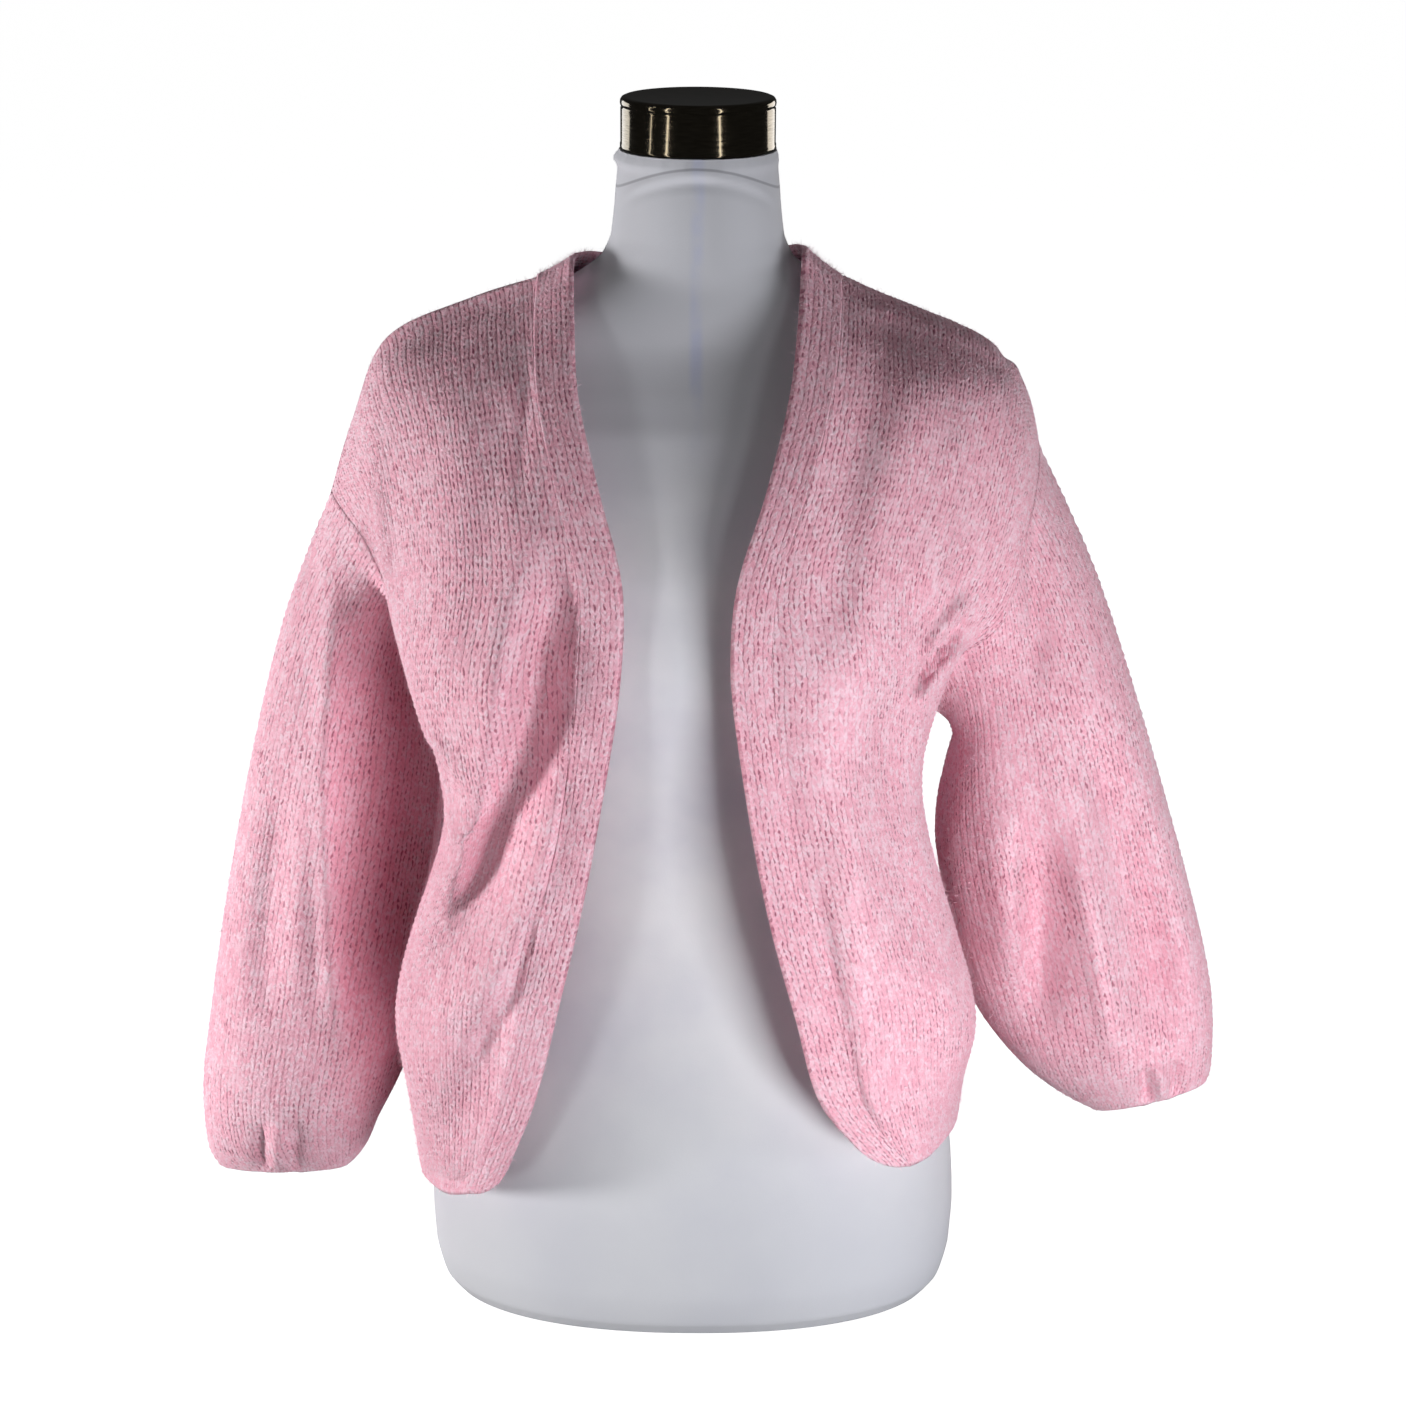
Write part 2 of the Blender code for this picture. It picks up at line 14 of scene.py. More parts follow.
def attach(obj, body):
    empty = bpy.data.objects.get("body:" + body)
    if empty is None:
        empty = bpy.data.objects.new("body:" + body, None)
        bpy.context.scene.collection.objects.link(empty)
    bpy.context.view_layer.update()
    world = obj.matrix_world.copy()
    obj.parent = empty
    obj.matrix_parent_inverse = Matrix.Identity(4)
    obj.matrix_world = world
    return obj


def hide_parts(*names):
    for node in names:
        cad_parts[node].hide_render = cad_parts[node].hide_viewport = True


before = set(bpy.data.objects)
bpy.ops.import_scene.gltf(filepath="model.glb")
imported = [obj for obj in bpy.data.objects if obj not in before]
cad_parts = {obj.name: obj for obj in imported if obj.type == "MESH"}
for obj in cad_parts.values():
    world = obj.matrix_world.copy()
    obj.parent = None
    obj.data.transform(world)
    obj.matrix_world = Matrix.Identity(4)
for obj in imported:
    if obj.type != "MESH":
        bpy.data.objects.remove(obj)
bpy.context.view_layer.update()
MM = 0.001

# The camera stands where the photographer stood: 2.2 m in front, a little above the neck and looking down,
# with a long lens. The picture leans by a third of a degree.
VIEW_FROM = (0.00498, -2.2, 1.075)
VIEW_DOWN = math.radians(17)
VIEW_LEAN = math.radians(0.325)
lens = bpy.data.cameras.new("view")
lens.lens = 92
lens.sensor_width = 36
lens.clip_start = 0.05
lens.clip_end = 60
camera = bpy.data.objects.new("view", lens)
bpy.context.collection.objects.link(camera)
looking = Matrix.Rotation(math.pi / 2 - VIEW_DOWN, 4, "X") @ Matrix.Rotation(VIEW_LEAN, 4, "Z")
camera.matrix_world = Matrix.Translation(VIEW_FROM) @ looking
bpy.context.scene.camera = camera
bpy.context.scene.view_settings.view_transform = "Standard"


# The studio: a pale floor that glows a little, as a lit sweep does, small soft boxes low in front and at the
# sides, with the strongest at the viewer's left, and wide ones behind and above. Three narrow strips give the
# metal cap its upright glints.
FLOOR_REACH = 14
FLOOR_COLOUR = (0.90, 0.90, 0.90, 1)
FLOOR_GLOW = 0.97
AIR_GLOW = 0.03
# Name, place, what it faces, width, height, power in watts and colour. The strips light no cloth, and of the
# others only the two behind show in the cap.
SOFT_BOXES = (
    ("left", (-1.35, -2.0, 0.15), (-0.02, 0, 0.35), 0.4, 0.4, 7.5, (1.0, 0.985, 0.985)),
    ("left_side", (-2.0, -0.3, 0.15), (-0.2, 0, 0.35), 0.4, 0.4, 40, (1.0, 0.98, 0.98)),
    ("right_low", (0.55, -0.9, 0.10), (0.02, -0.1, 0.45), 0.4, 0.1, 7.5, (0.98, 0.98, 1.0)),
    ("right_far", (0.8, -2.2, 0.30), (0.02, 0, 0.45), 0.4, 0.4, 4.5, (0.98, 0.98, 1.0)),
    ("right_side", (1.9, -0.5, 0.15), (0.2, 0, 0.35), 0.4, 0.4, 7, (0.98, 0.97, 1.0)),
    ("top", (0.0, -0.3, 2.4), (0, 0, 0.6), 1.6, 1.6, 2.6, (1.0, 0.99, 0.98)),
    ("back_left", (1.8, 2.1, 0.7), (0, 0, 0.4), 1.4, 1.2, 14, (1.0, 0.98, 0.97)),
    ("back_right", (-1.9, 2.0, 0.7), (0, 0, 0.4), 1.4, 1.2, 14, (0.97, 0.98, 1.0)),
    ("strip_far_left", (-2.1, -0.55, 0.86), (0, 0, 0.77), 0.04, 3.0, 3, (1.0, 0.95, 0.88)),
    ("strip_left", (-1.62, -1.5, 0.86), (0, 0, 0.77), 0.09, 3.0, 6, (1.0, 0.95, 0.88)),
    ("strip_right", (1.16, -1.75, 0.86), (0, 0, 0.77), 0.08, 3.0, 6, (1.0, 0.95, 0.88)),
)
for name, place, aim, width, height, power, colour in SOFT_BOXES:
    box = bpy.data.lights.new(name, "AREA")
    box.shape = "RECTANGLE"
    box.size = width
    box.size_y = height
    box.energy = power
    box.color = colour
    lamp = bpy.data.objects.new(name, box)
    lamp.location = place
    lamp.rotation_euler = (Vector(aim) - Vector(place)).to_track_quat("-Z", "Y").to_euler()
    lamp.visible_diffuse = not name.startswith("strip")
    lamp.visible_glossy = name.startswith(("strip", "back"))
    bpy.context.collection.objects.link(lamp)

air = bpy.data.worlds.new("air")
air.use_nodes = True
air_nodes = air.node_tree.nodes
path = air_nodes.new("ShaderNodeLightPath")
glow = air_nodes["Background"]
glow.inputs["Color"].default_value = (1, 1, 1, 1)
brightness = air_nodes.new("ShaderNodeMapRange")
brightness.inputs["To Min"].default_value = AIR_GLOW
air.node_tree.links.new(path.outputs["Is Camera Ray"], brightness.inputs["Value"])
air.node_tree.links.new(brightness.outputs["Result"], glow.inputs["Strength"])
bpy.context.scene.world = air


def smooth_object(name, points, faces):
    """A smooth mesh object at the origin."""
    mesh = bpy.data.meshes.new(name)
    mesh.from_pydata(points, [], faces)
    mesh.shade_smooth()
    made = bpy.data.objects.new(name, mesh)
    bpy.context.collection.objects.link(made)
    return made


def new_material(name, **values):
    """A material, its node tree and its shader, with values for the shader's inputs."""
    made = bpy.data.materials.new(name)
    made.use_nodes = True
    shader = made.node_tree.nodes["Principled BSDF"]
    for key, value in values.items():
        shader.inputs[key.replace("_", " ")].default_value = value
    return made, made.node_tree, shader


floor_corners = [(x * FLOOR_REACH, y * FLOOR_REACH, 0) for x, y in ((-1, -1), (1, -1), (1, 1), (-1, 1))]
floor = smooth_object("floor", floor_corners, [(0, 1, 2, 3)])
paper = new_material(
    "paper_sweep",
    Base_Color=FLOOR_COLOUR,
    Roughness=0.9,
    Emission_Color=(1, 1, 1, 1),
    Emission_Strength=FLOOR_GLOW,
)[0]
floor.data.materials.append(paper)
floor.visible_diffuse = False
floor.visible_glossy = False


# The dress form's body: a moulded torso under a stretched bluish-white jersey cover, sewn up the middle of
# the front and gathered at the neck, on a flat base. From the base to the top of the neck: height, half
# width, depth to the front and depth to the back.
FORM_RINGS = (
    (0, 146, 84, 86),
    (4, 158, 94, 96),
    (14, 166, 102, 104),
    (34, 171, 108, 109),
    (70, 172.5, 111, 112),
    (120, 169, 111, 112),
    (170, 159, 107, 106),
    (230, 139, 98, 94),
    (290, 123, 92, 86),
    (350, 123, 98, 88),
    (410, 131, 116, 95),
    (460, 142, 129, 100),
    (510, 157, 122, 103),
    (560, 178, 100, 101),
    (595, 187, 82, 91),
    (615, 189, 68, 78),
    (629, 184, 59, 68),
    (640, 168, 54, 62),
    (652, 138, 52, 59),
    (664, 106, 51, 57),
    (676, 80, 50, 55),
    (690, 60, 50, 53),
    (704, 53.5, 49.5, 51),
    (720, 51.5, 49, 50),
    (738, 50, 48, 48),
    (757, 48, 47.5, 47.5),
)
FORM_ROUNDNESS = 2.2
FORM_SIDES = 144
FORM_ROWS = 190
COVER_COLOUR = (0.86, 0.875, 0.90, 1)
COVER_SHADE = (0.72, 0.735, 0.80, 1)
# Painted shade: the darker colour that the cover takes on its upper chest, neck and base.
COVER_PAINTED_SHADE = (0.55, 0.56, 0.60, 1)
SEAM_STAIN = (0.42, 0.46, 0.66, 1)
# A dark line round the front of the neck, under the cap: its height in front, how fast it drops to the sides, half
# its width and its share.
NECK_LINE = (0.7512, 6.5, 0.0012, 0.45)
# Dark specks: place and radius.
SPECKS = (
    ((-0.0455, -0.036, 0.740), 0.0011),
    ((-0.0265, -0.048, 0.7365), 0.0010),
    ((-0.0060, -0.054, 0.7375), 0.0013),
    ((0.0120, -0.054, 0.7385), 0.0008),
    ((-0.0380, -0.044, 0.7470), 0.0009),
    ((0.1150, -0.105, 0.062), 0.0012),
)
LINE_GREY = (0.10, 0.10, 0.12, 1)
SEAM_WIDTH = 1.6 * MM
SEAM_DEPTH = 0.5 * MM
# The cover's crease on the front of the neck: its height, its drop at the sides, and how high its ridge
# stands and how deep the hollow under it is. Above it the cover is gathered and has a soft lip, which is
# thicker at one side.
CREASE_HEIGHT = 747.5 * MM
CREASE_DROP = 12 * MM
RIDGE_RISE = 1.7 * MM
HOLLOW_DEPTH = 1.3 * MM
GATHERS_FROM = 744 * MM
LIP_HEIGHT = 751.5 * MM


def spline(points, at):
    """Points on a smooth curve through the given ones, where `at` counts along them from 0."""
    points = np.asarray(points, float)
    at = np.asarray(at, float)
    ahead = np.linalg.norm(np.diff(points, axis=0), axis=-1) ** 0.5 + 1e-9
    ahead = ahead[..., None]
    slope = np.diff(points, axis=0) / ahead
    tangent = np.empty_like(points)
    tangent[1:-1] = (slope[:-1] * ahead[1:] + slope[1:] * ahead[:-1]) / (ahead[:-1] + ahead[1:])
    tangent[0] = 1.5 * slope[0] - 0.5 * tangent[1]
    tangent[-1] = 1.5 * slope[-1] - 0.5 * tangent[-2]
    first = np.clip(np.floor(at).astype(int), 0, len(points) - 2)
    part = (at - first).reshape((-1,) + (1,) * (points.ndim - 1))
    start, end, step = points[first], points[first + 1], ahead[first]
    return (
        (2 * part**3 - 3 * part**2 + 1) * start
        + (part**3 - 2 * part**2 + part) * step * tangent[first]
        + (3 * part**2 - 2 * part**3) * end
        + (part**3 - part**2) * step * tangent[first + 1]
    )


def form_ring(height):
    """Half width, front depth and back depth of the dress form at each height."""
    table = np.array(FORM_RINGS, float) * MM
    places = np.interp(height, table[:, 0], np.arange(len(table)))
    return spline(table[:, 1:], np.ravel(places)).reshape(np.shape(height) + (3,))


def connect(tree, value, socket):
    """Gives a socket its value, or links it to another's."""
    if isinstance(value, bpy.types.NodeSocket):
        tree.links.new(value, socket)
    elif value is not None:
        socket.default_value = value


def node(tree, kind, **values):
    """A shader or geometry node with its settings and the values of its sockets."""
    made = tree.nodes.new(kind)
    for key, value in values.items():
        if key.startswith("in_"):
            socket = int(key[3:]) if key[3:].isdigit() else key[3:].replace("_", " ")
            connect(tree, value, made.inputs[socket])
        else:
            setattr(made, key, value)
    return made


def sums(tree, *operations):
    """A function for each kind of arithmetic on numbers or sockets in a tree."""

    def step(operation):
        def worked_out(*values):
            made = node(tree, "ShaderNodeMath", operation=operation)
            for value, socket in zip(values, made.inputs):
                connect(tree, value, socket)
            return made.outputs[0]

        return worked_out

    return [step(operation) for operation in operations]


def mixed(tree, share, first, second):
    """Two colours mixed by a share."""
    made = node(tree, "ShaderNodeMix", data_type="RGBA")
    connect(tree, share, made.inputs[0])
    connect(tree, first, made.inputs[6])
    connect(tree, second, made.inputs[7])
    return made.outputs[2]


def ramp(tree, value, low, high, to_low=0.0, to_high=1.0):
    """A smooth step of a value between two limits."""
    return node(
        tree,
        "ShaderNodeMapRange",
        interpolation_type="SMOOTHSTEP",
        in_0=value,
        in_1=low,
        in_2=high,
        in_3=to_low,
        in_4=to_high,
    ).outputs[0]


def place_in(tree):
    """The place of a point on the piece."""
    return node(tree, "ShaderNodeTexCoord").outputs["Object"]


def distance(tree, place, centre):
    """How far a point is from a centre."""
    return node(tree, "ShaderNodeVectorMath", operation="DISTANCE", in_0=place, in_1=centre).outputs["Value"]


def bumped(tree, shader, height, strength, depth):
    """Makes a shader's surface rise and fall with a height."""
    bump = node(tree, "ShaderNodeBump", in_Strength=strength, in_Distance=depth, in_Height=height)
    tree.links.new(bump.outputs[0], shader.inputs["Normal"])


def form_cover():
    """Jersey: fine ribs, painted shade that darkens the neck, the upper chest and the base, and a bluish line where
    the front seam shows through.
    """
    made, tree, shader = new_material("form_jersey", Roughness=0.82, Sheen_Weight=0.15)
    add, less, times, scaled, size, below = sums(
        tree, "ADD", "SUBTRACT", "MULTIPLY", "MULTIPLY_ADD", "ABSOLUTE", "LESS_THAN"
    )
    place = place_in(tree)
    x, y, z = node(tree, "ShaderNodeSeparateXYZ", in_0=place).outputs

    def noise(scale, detail):
        return node(tree, "ShaderNodeTexNoise", in_Vector=place, in_Scale=scale, in_Detail=detail).outputs[0]

    clouds = noise(9.0, 4.0)
    ribs = node(tree, "ShaderNodeTexWave", in_Vector=place, in_Scale=480.0, in_Distortion=1.2).outputs[1]
    tone = mixed(tree, ramp(tree, clouds, 0.35, 0.7), COVER_COLOUR, COVER_SHADE)
    # Painted shade: the cover turns darker from the bust up to the neck, and towards the base, where less light
    # falls.
    painted_shade = add(ramp(tree, z, 0.50, 0.66), ramp(tree, z, 0.06, 0.30, 0.7, 0.0))
    tone = mixed(tree, painted_shade, tone, COVER_PAINTED_SHADE)
    line = ramp(tree, size(add(x, scaled(clouds, 0.006, -0.003))), 0.0012, 0.006, 1.0, 0.0)
    front = below(y, 0.0)
    patches = times(ramp(tree, z, 0.575, 0.63), ramp(tree, noise(34.0, 3.0), 0.35, 0.7))
    stain = times(times(line, front), patches)
    tone = mixed(tree, times(stain, 0.55), tone, SEAM_STAIN)
    height, drop, width, share = NECK_LINE
    off = size(less(scaled(times(x, x), drop, z), height))
    tone = mixed(tree, times(ramp(tree, off, width * 0.3, width, share, 0.0), front), tone, LINE_GREY)
    for speck, radius in SPECKS:
        near = ramp(tree, distance(tree, place, speck), radius * 0.4, radius, 0.8, 0.0)
        tone = mixed(tree, near, tone, LINE_GREY)
    tree.links.new(tone, shader.inputs["Base Color"])
    bumped(tree, shader, add(times(ribs, 0.5), noise(900.0, 2.0)), 0.18, 0.4 * MM)
    return made


def form_surface(heights, around):
    """Rings of the torso with its front seam, the neck's crease and the gathers under the cap."""
    half, front, back = np.moveaxis(form_ring(heights), -1, 0)
    power = 2 / FORM_ROUNDNESS
    cosine, sine = np.cos(around), np.sin(around)
    x = half[:, None] * (np.sign(cosine) * np.abs(cosine) ** power)[None]
    depth = np.where(sine[None] < 0, front[:, None], back[:, None])
    y = depth * (np.sign(sine) * np.abs(sine) ** power)[None]
    z = np.repeat(heights[:, None], len(around), axis=1)
    points = np.stack([x, y, z], -1)
    out = np.stack([x, y, np.zeros_like(x)], -1)
    out /= np.linalg.norm(out, axis=-1, keepdims=True)
    rise = -SEAM_DEPTH * np.exp(-((x / SEAM_WIDTH) ** 2)) * (y < 0) * (z < 745 * MM)
    swing = np.arctan2(x, -y)
    crease = CREASE_HEIGHT - CREASE_DROP * (swing / 0.9) ** 2
    in_front = np.clip(1.25 - np.abs(swing), 0, 1)
    ridge = RIDGE_RISE * np.exp(-(((z - crease) / (2.2 * MM)) ** 2))
    hollow = HOLLOW_DEPTH * np.exp(-(((z - crease + 5 * MM) / (3.5 * MM)) ** 2))
    rise += (ridge - hollow) * in_front
    gathers = np.sin(swing * 23) * 0.35 + np.sin(swing * 41 + 1.3) * 0.2
    rise += 0.7 * MM * gathers * np.clip((z - GATHERS_FROM) / (10 * MM), 0, 1)
    lip = (1.0 + 2.6 * np.clip(np.sin(-swing - 0.35), 0, 1) ** 2) * MM
    rise += lip * np.exp(-(((z - LIP_HEIGHT) / (3.2 * MM)) ** 2))
    return points + rise[..., None] * out


# The rows lie closer at the base's rounded edge and on the neck.
form_top = FORM_RINGS[-1][0] * MM
heights = np.interp(np.linspace(0, 1, FORM_ROWS), (0, 0.05, 0.84, 1), (0, 14 * MM, 690 * MM, form_top))
around = (np.arange(FORM_SIDES) + 0.5) / FORM_SIDES * 2 * math.pi
rings = form_surface(heights, around)
shell = [tuple(range(FORM_SIDES))[::-1]]
for low in range(FORM_ROWS - 1):
    for side in range(FORM_SIDES):
        beside = (side + 1) % FORM_SIDES
        first, second = low * FORM_SIDES, (low + 1) * FORM_SIDES
        shell.append((first + side, first + beside, second + beside, second + side))
shell.append(tuple(range((FORM_ROWS - 1) * FORM_SIDES, FORM_ROWS * FORM_SIDES)))
torso = smooth_object("torso_cover", rings.reshape(-1, 3).tolist(), shell)
torso.data.set_sharp_from_angle(angle=math.radians(50))
torso.data.materials.append(form_cover())
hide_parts("form_torso")
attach(torso, "root")


# The neck cap: a disc turned from dark polished metal, with a rolled upper edge and a fine groove under it,
# pressed on the neck over the gathered cover.
CAP_SIDES = 128
CAP_LOW = 757.3
# Radius and height above the cap's underside, from the middle of the underside round to the middle of the
# top.
CAP_PROFILE = (
    (0, 0), (46.4, 0), (47.5, 0.4), (47.8, 1.2), (47.8, 3.0), (47.5, 3.6), (47.5, 24.6), (47.0, 25.2),
    (47.0, 25.8), (47.6, 26.6), (47.8, 28.0), (47.6, 29.6), (46.8, 30.8), (45.4, 31.4), (43.5, 31.5),
    (41.0, 31.3), (0, 31.3),
)
METAL_DARK = (0.13, 0.11, 0.08, 1)
METAL_LIGHT = (0.24, 0.21, 0.16, 1)
profile = np.array(CAP_PROFILE, float) * MM
turns = np.arange(CAP_SIDES) / CAP_SIDES * 2 * math.pi
cap_points = [(0.0, 0.0, CAP_LOW * MM)]
for radius, height in profile[1:-1]:
    level = CAP_LOW * MM + height
    cap_points += [(radius * math.cos(turn), radius * math.sin(turn), level) for turn in turns]
cap_points.append((0.0, 0.0, CAP_LOW * MM + profile[-1, 1]))
cap_faces = []
last = len(cap_points) - 1
for side in range(CAP_SIDES):
    beside = (side + 1) % CAP_SIDES
    cap_faces.append((0, 1 + beside, 1 + side))
    cap_faces.append((last, last - CAP_SIDES + side, last - CAP_SIDES + beside))
    for ring in range(len(profile) - 3):
        low = 1 + ring * CAP_SIDES
        cap_faces.append((low + side, low + beside, low + beside + CAP_SIDES, low + side + CAP_SIDES))
cap = smooth_object("neck_cap", cap_points, cap_faces)
cap.data.set_sharp_from_angle(angle=math.radians(40))
bronze, bronze_tree, metal = new_material("cap_metal", Metallic=1.0)
stretched = node(bronze_tree, "ShaderNodeMapping", in_Vector=place_in(bronze_tree), in_Scale=(40, 40, 900))
scratches = node(
    bronze_tree, "ShaderNodeTexNoise", in_Vector=stretched.outputs[0], in_Scale=3.0, in_Detail=3.0
).outputs[0]
tarnish = mixed(bronze_tree, ramp(bronze_tree, scratches, 0.3, 0.75), METAL_DARK, METAL_LIGHT)
bronze_tree.links.new(tarnish, metal.inputs["Base Color"])
bronze_tree.links.new(ramp(bronze_tree, scratches, 0.3, 0.8, 0.07, 0.16), metal.inputs["Roughness"])
cap.data.materials.append(bronze)
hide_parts("form_neck_cap")
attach(cap, "root")


# The cardigan's seams: where the fronts, the back, the sleeves and the band meet, from the hem to the
# shoulders. All the pieces are read from these levels, laid on the form and eased, and they share the points
# of their seams.
BAND_WALL = 3.8 * MM
FORM_CLEARANCE = 0.9 * MM
SHOULDER_SPARE = 1.1 * MM
SETTLES_WITHIN = 8 * MM
SETTLES_FROM = 100 * MM
SETTLES_OVER = 20 * MM
FACES_UP_FROM = 0.35
FACES_UP_OVER = 0.3
CLEARING_ROUNDS = 6
CLEARING_STEP = 5 * MM
SLOPE_STEP = 0.2 * MM
EASE = 0.45
EASE_ROUNDS = 3
UNDERARM_WEIGHT = 3
LEVELS = ("hem", "low", "hip", "waist", "mid", "under", "bust", "chest", "yoke", "crest", "shoulder")
UNDERARM = LEVELS.index("under")
STEPS_BELOW = 3
STEPS_ABOVE = 3
NEAR_SHOULDER_SEAM = (0.62, 0.3)

# One row a level: band edge, band seam, breast, ridge, flank and side, each as x, y and z.
RIGHT_FRONT = (
    ((-121, -121, 119), (-143, -110, 111), (-155, -95, 104), (-167, -68, 97), (-176, -35, 91), (-179, 2, 90)),
    ((-98, -139, 190), (-119, -137, 194), (-148, -130, 190), (-177, -92, 174), (-183, -45, 160), (-180, 5, 150)),
    ((-85, -148, 247), (-107, -146, 248), (-147, -141, 242), (-189, -85, 221), (-184, -38, 214), (-170, 10, 210)),
    ((-69, -151, 318), (-92, -151, 319), (-133, -152, 316), (-172, -85, 288), (-170, -38, 282), (-160, 12, 278)),
    ((-56, -152, 390), (-78, -152, 390), (-111, -153, 386), (-146, -100, 366), (-153, -45, 354), (-150, 12, 345)),
    ((-46, -151, 460), (-69, -152, 461), (-116, -158, 457), (-170, -98, 437), (-171, -54, 416), (-154, 8, 401)),
    ((-45, -147, 518), (-69, -148, 517), (-121, -150, 513), (-178, -86, 491), (-184, -64, 461), (-175, -29, 443)),
    ((-59, -129, 571), (-83, -129, 570), (-129, -125, 565), (-182, -75, 549), (-192, -67, 514), (-187, -49, 484)),
    ((-72, -97, 622), (-95, -96, 620), (-137, -92, 613), (-185, -60, 600), (-199, -54, 565), (-204, -46, 522)),
    ((-75, -67, 657), (-98, -62, 652), (-141, -53, 641), (-190, -38, 621), (-208, -33, 580), (-218, -26, 534)),
    ((-76, -28, 688), (-98, -14, 678), (-142, -3, 662), (-192, 0, 637), (-212, 0, 591), (-228, 0, 540)),
)
LEFT_FRONT = (
    ((112, -129, 141), (136, -116, 134), (149, -98, 132), (163, -68, 133), (170, -35, 128), (175, 2, 125)),
    ((80, -146, 191), (104, -142, 190), (139, -128, 188), (167, -85, 176), (174, -42, 171), (172, 6, 170)),
    ((65, -153, 245), (89, -150, 246), (131, -140, 243), (180, -80, 215), (174, -38, 212), (164, 10, 212)),
    ((46, -154, 318), (69, -152, 318), (113, -148, 315), (160, -78, 285), (158, -35, 282), (148, 12, 280)),
    ((31, -156, 402), (54, -153, 401), (94, -150, 396), (136, -92, 371), (139, -42, 360), (132, 10, 352)),
    ((23, -155, 469), (46, -153, 469), (92, -152, 464), (141, -95, 437), (150, -56, 414), (143, 5, 403)),
    ((26, -148, 518), (49, -147, 517), (98, -142, 515), (149, -95, 494), (163, -74, 461), (157, -38, 441)),
    ((42, -130, 568), (65, -129, 568), (110, -122, 566), (163, -80, 550), (182, -72, 515), (190, -60, 476)),
    ((57, -97, 622), (81, -95, 621), (122, -92, 617), (175, -60, 602), (196, -57, 570), (203, -52, 531)),
    ((62, -66, 660), (86, -62, 652), (126, -53, 641), (184, -38, 621), (203, -34, 592), (210, -28, 557)),
    ((64, -26, 694), (88, -14, 677), (128, -3, 661), (186, 0, 636), (204, 0, 608), (213, 0, 573)),
)
FRONT_STEPS = 4

# The back at each level: y and z at the middle, and how square the curve round to the side seam is.
BACK_MIDDLE = (
    (126, 106, 2.5),
    (134, 158, 2.5),
    (134, 212, 2.4),
    (126, 280, 2.4),
    (120, 350, 2.4),
    (119, 412, 2.5),
    (121, 465, 2.7),
    (118, 520, 2.8),
    (103, 582, 2.7),
    (89, 637, 2.6),
    (72, 655, 2.4),
)
# The back's own armhole at the bust, chest and yoke levels, right and left.
BACK_ARMHOLES = (
    ((-172, 44, 445), (-186, 58, 486), (-203, 48, 522), (-218, 26, 535)),
    ((156, 44, 444), (186, 60, 484), (203, 54, 532), (210, 28, 558)),
)
BACK_NECK_SEAM = ((-93, 18, 676), (-63, 62, 664), (0, 73, 656), (59, 62, 667), (84, 20, 678))
BACK_NECK_EDGE = ((-73, 8, 689), (-51, 49, 681), (0, 63, 678), (49, 48, 686), (64, 12, 694))
NECK_STEPS = 10
BAND_STEPS = 3
BAND_ROLL = 2.5 * MM
BAND_ROLL_TURN = 0.8 * math.pi
ARC_POINTS = 200
# The back's levels stay flat across the middle and rise to the side as this power.
BACK_RISE = 3
# How far round from the middle of the back each stretch starts, as a share of the way to the side.
BACK_SHARES = (0.0, 0.33, 0.48, 0.66, 0.83, 1.0)

# Sleeve sections, shoulder to cuff: middle x, y and z, half width, half depth and the tilt in degrees. The
# last few also rise towards the front of the cuff, by this share of their depth.
RIGHT_SLEEVE = (
    (-213.5, 8, 433, 58, 52, 40),
    (-217, 8, 386, 62, 57, 24),
    (-225.5, 10, 335, 64.5, 58, 16),
    (-234.5, 12, 280, 66.5, 59, 13),
    (-243, 12, 225, 68, 60, 11),
    (-252, 12, 176, 66, 58, 9),
    (-261.5, 12, 140, 62.5, 54, 5),
    (-268, 12, 112, 56.5, 46, 2),
    (-271, 12, 92, 52, 37, 0),
    (-273.5, 12, 81, 47, 29, 0),
    (-274, 12, 74.5, 40.5, 23.5, 0),
)
LEFT_SLEEVE = (
    (208.5, 5, 443, 70, 52, 54),
    (215.5, 4, 393, 71.5, 59, 39),
    (223.5, 6, 349, 75, 61, 29),
    (234, 8, 306, 76, 61, 20),
    (244, 8, 266, 78, 60, 16),
    (255.5, 8, 226, 78, 58, 10),
    (267, 8, 190, 74, 54, 4),
    (281, 8, 160, 61, 44, 8),
    (293, 8, 143, 49.5, 33, 12),
    (300.5, 8, 135, 42, 28, 15),
    (303, 8, 130, 36, 24, 16),
)
CUFF_RISE = (0, 0, 0, 0, 0, 0, 0.03, 0.08, 0.15, 0.2, 0.22)
SLEEVE_ROWS = (0, 0.55, 1.1, 1.65, 2.3, 3, 3.8, 4.6, 5.4, 6, 6.5, 7, 7.5, 8, 8.5, 9, 9.5, 10.2, 11)

# The largest folds: piece, height of the ridge (or depth of the trough, below zero), half width, and the
# line that it follows as x and z, seen from the front.
FOLDS = (
    ("front_right", -10, 22, ((-84, 480), (-108, 400), (-130, 330), (-152, 272), (-168, 235))),
    ("front_right", 7, 20, ((-98, 372), (-128, 296), (-158, 240))),
    ("front_right", 6, 20, ((-134, 500), (-140, 430), (-150, 385))),
    ("front_left", -6, 22, ((100, 430), (108, 350), (124, 280), (144, 215))),
    ("front_left", -5, 20, ((150, 480), (134, 425), (112, 385))),
    ("sleeve_left", -8, 20, ((217, 410), (221, 300), (218, 225))),
    ("sleeve_left", 6, 20, ((254, 360), (266, 250), (270, 200))),
    ("sleeve_left", -6, 20, ((290, 320), (303, 240), (305, 200))),
    ("sleeve_right", -6, 22, ((-236, 470), (-246, 330), (-262, 190))),
)
# How fast a fold dies away where its piece turns from the front to the side.
FOLD_FACING = 2.0

SLEEVES = ("sleeve_right", "sleeve_left")
# Which way a grid's own rows and columns make its directions point.
OUTWARD = {"front_right": -1, "front_left": 1, "back": -1, "sleeve_right": 1, "sleeve_left": -1, "band": 1}


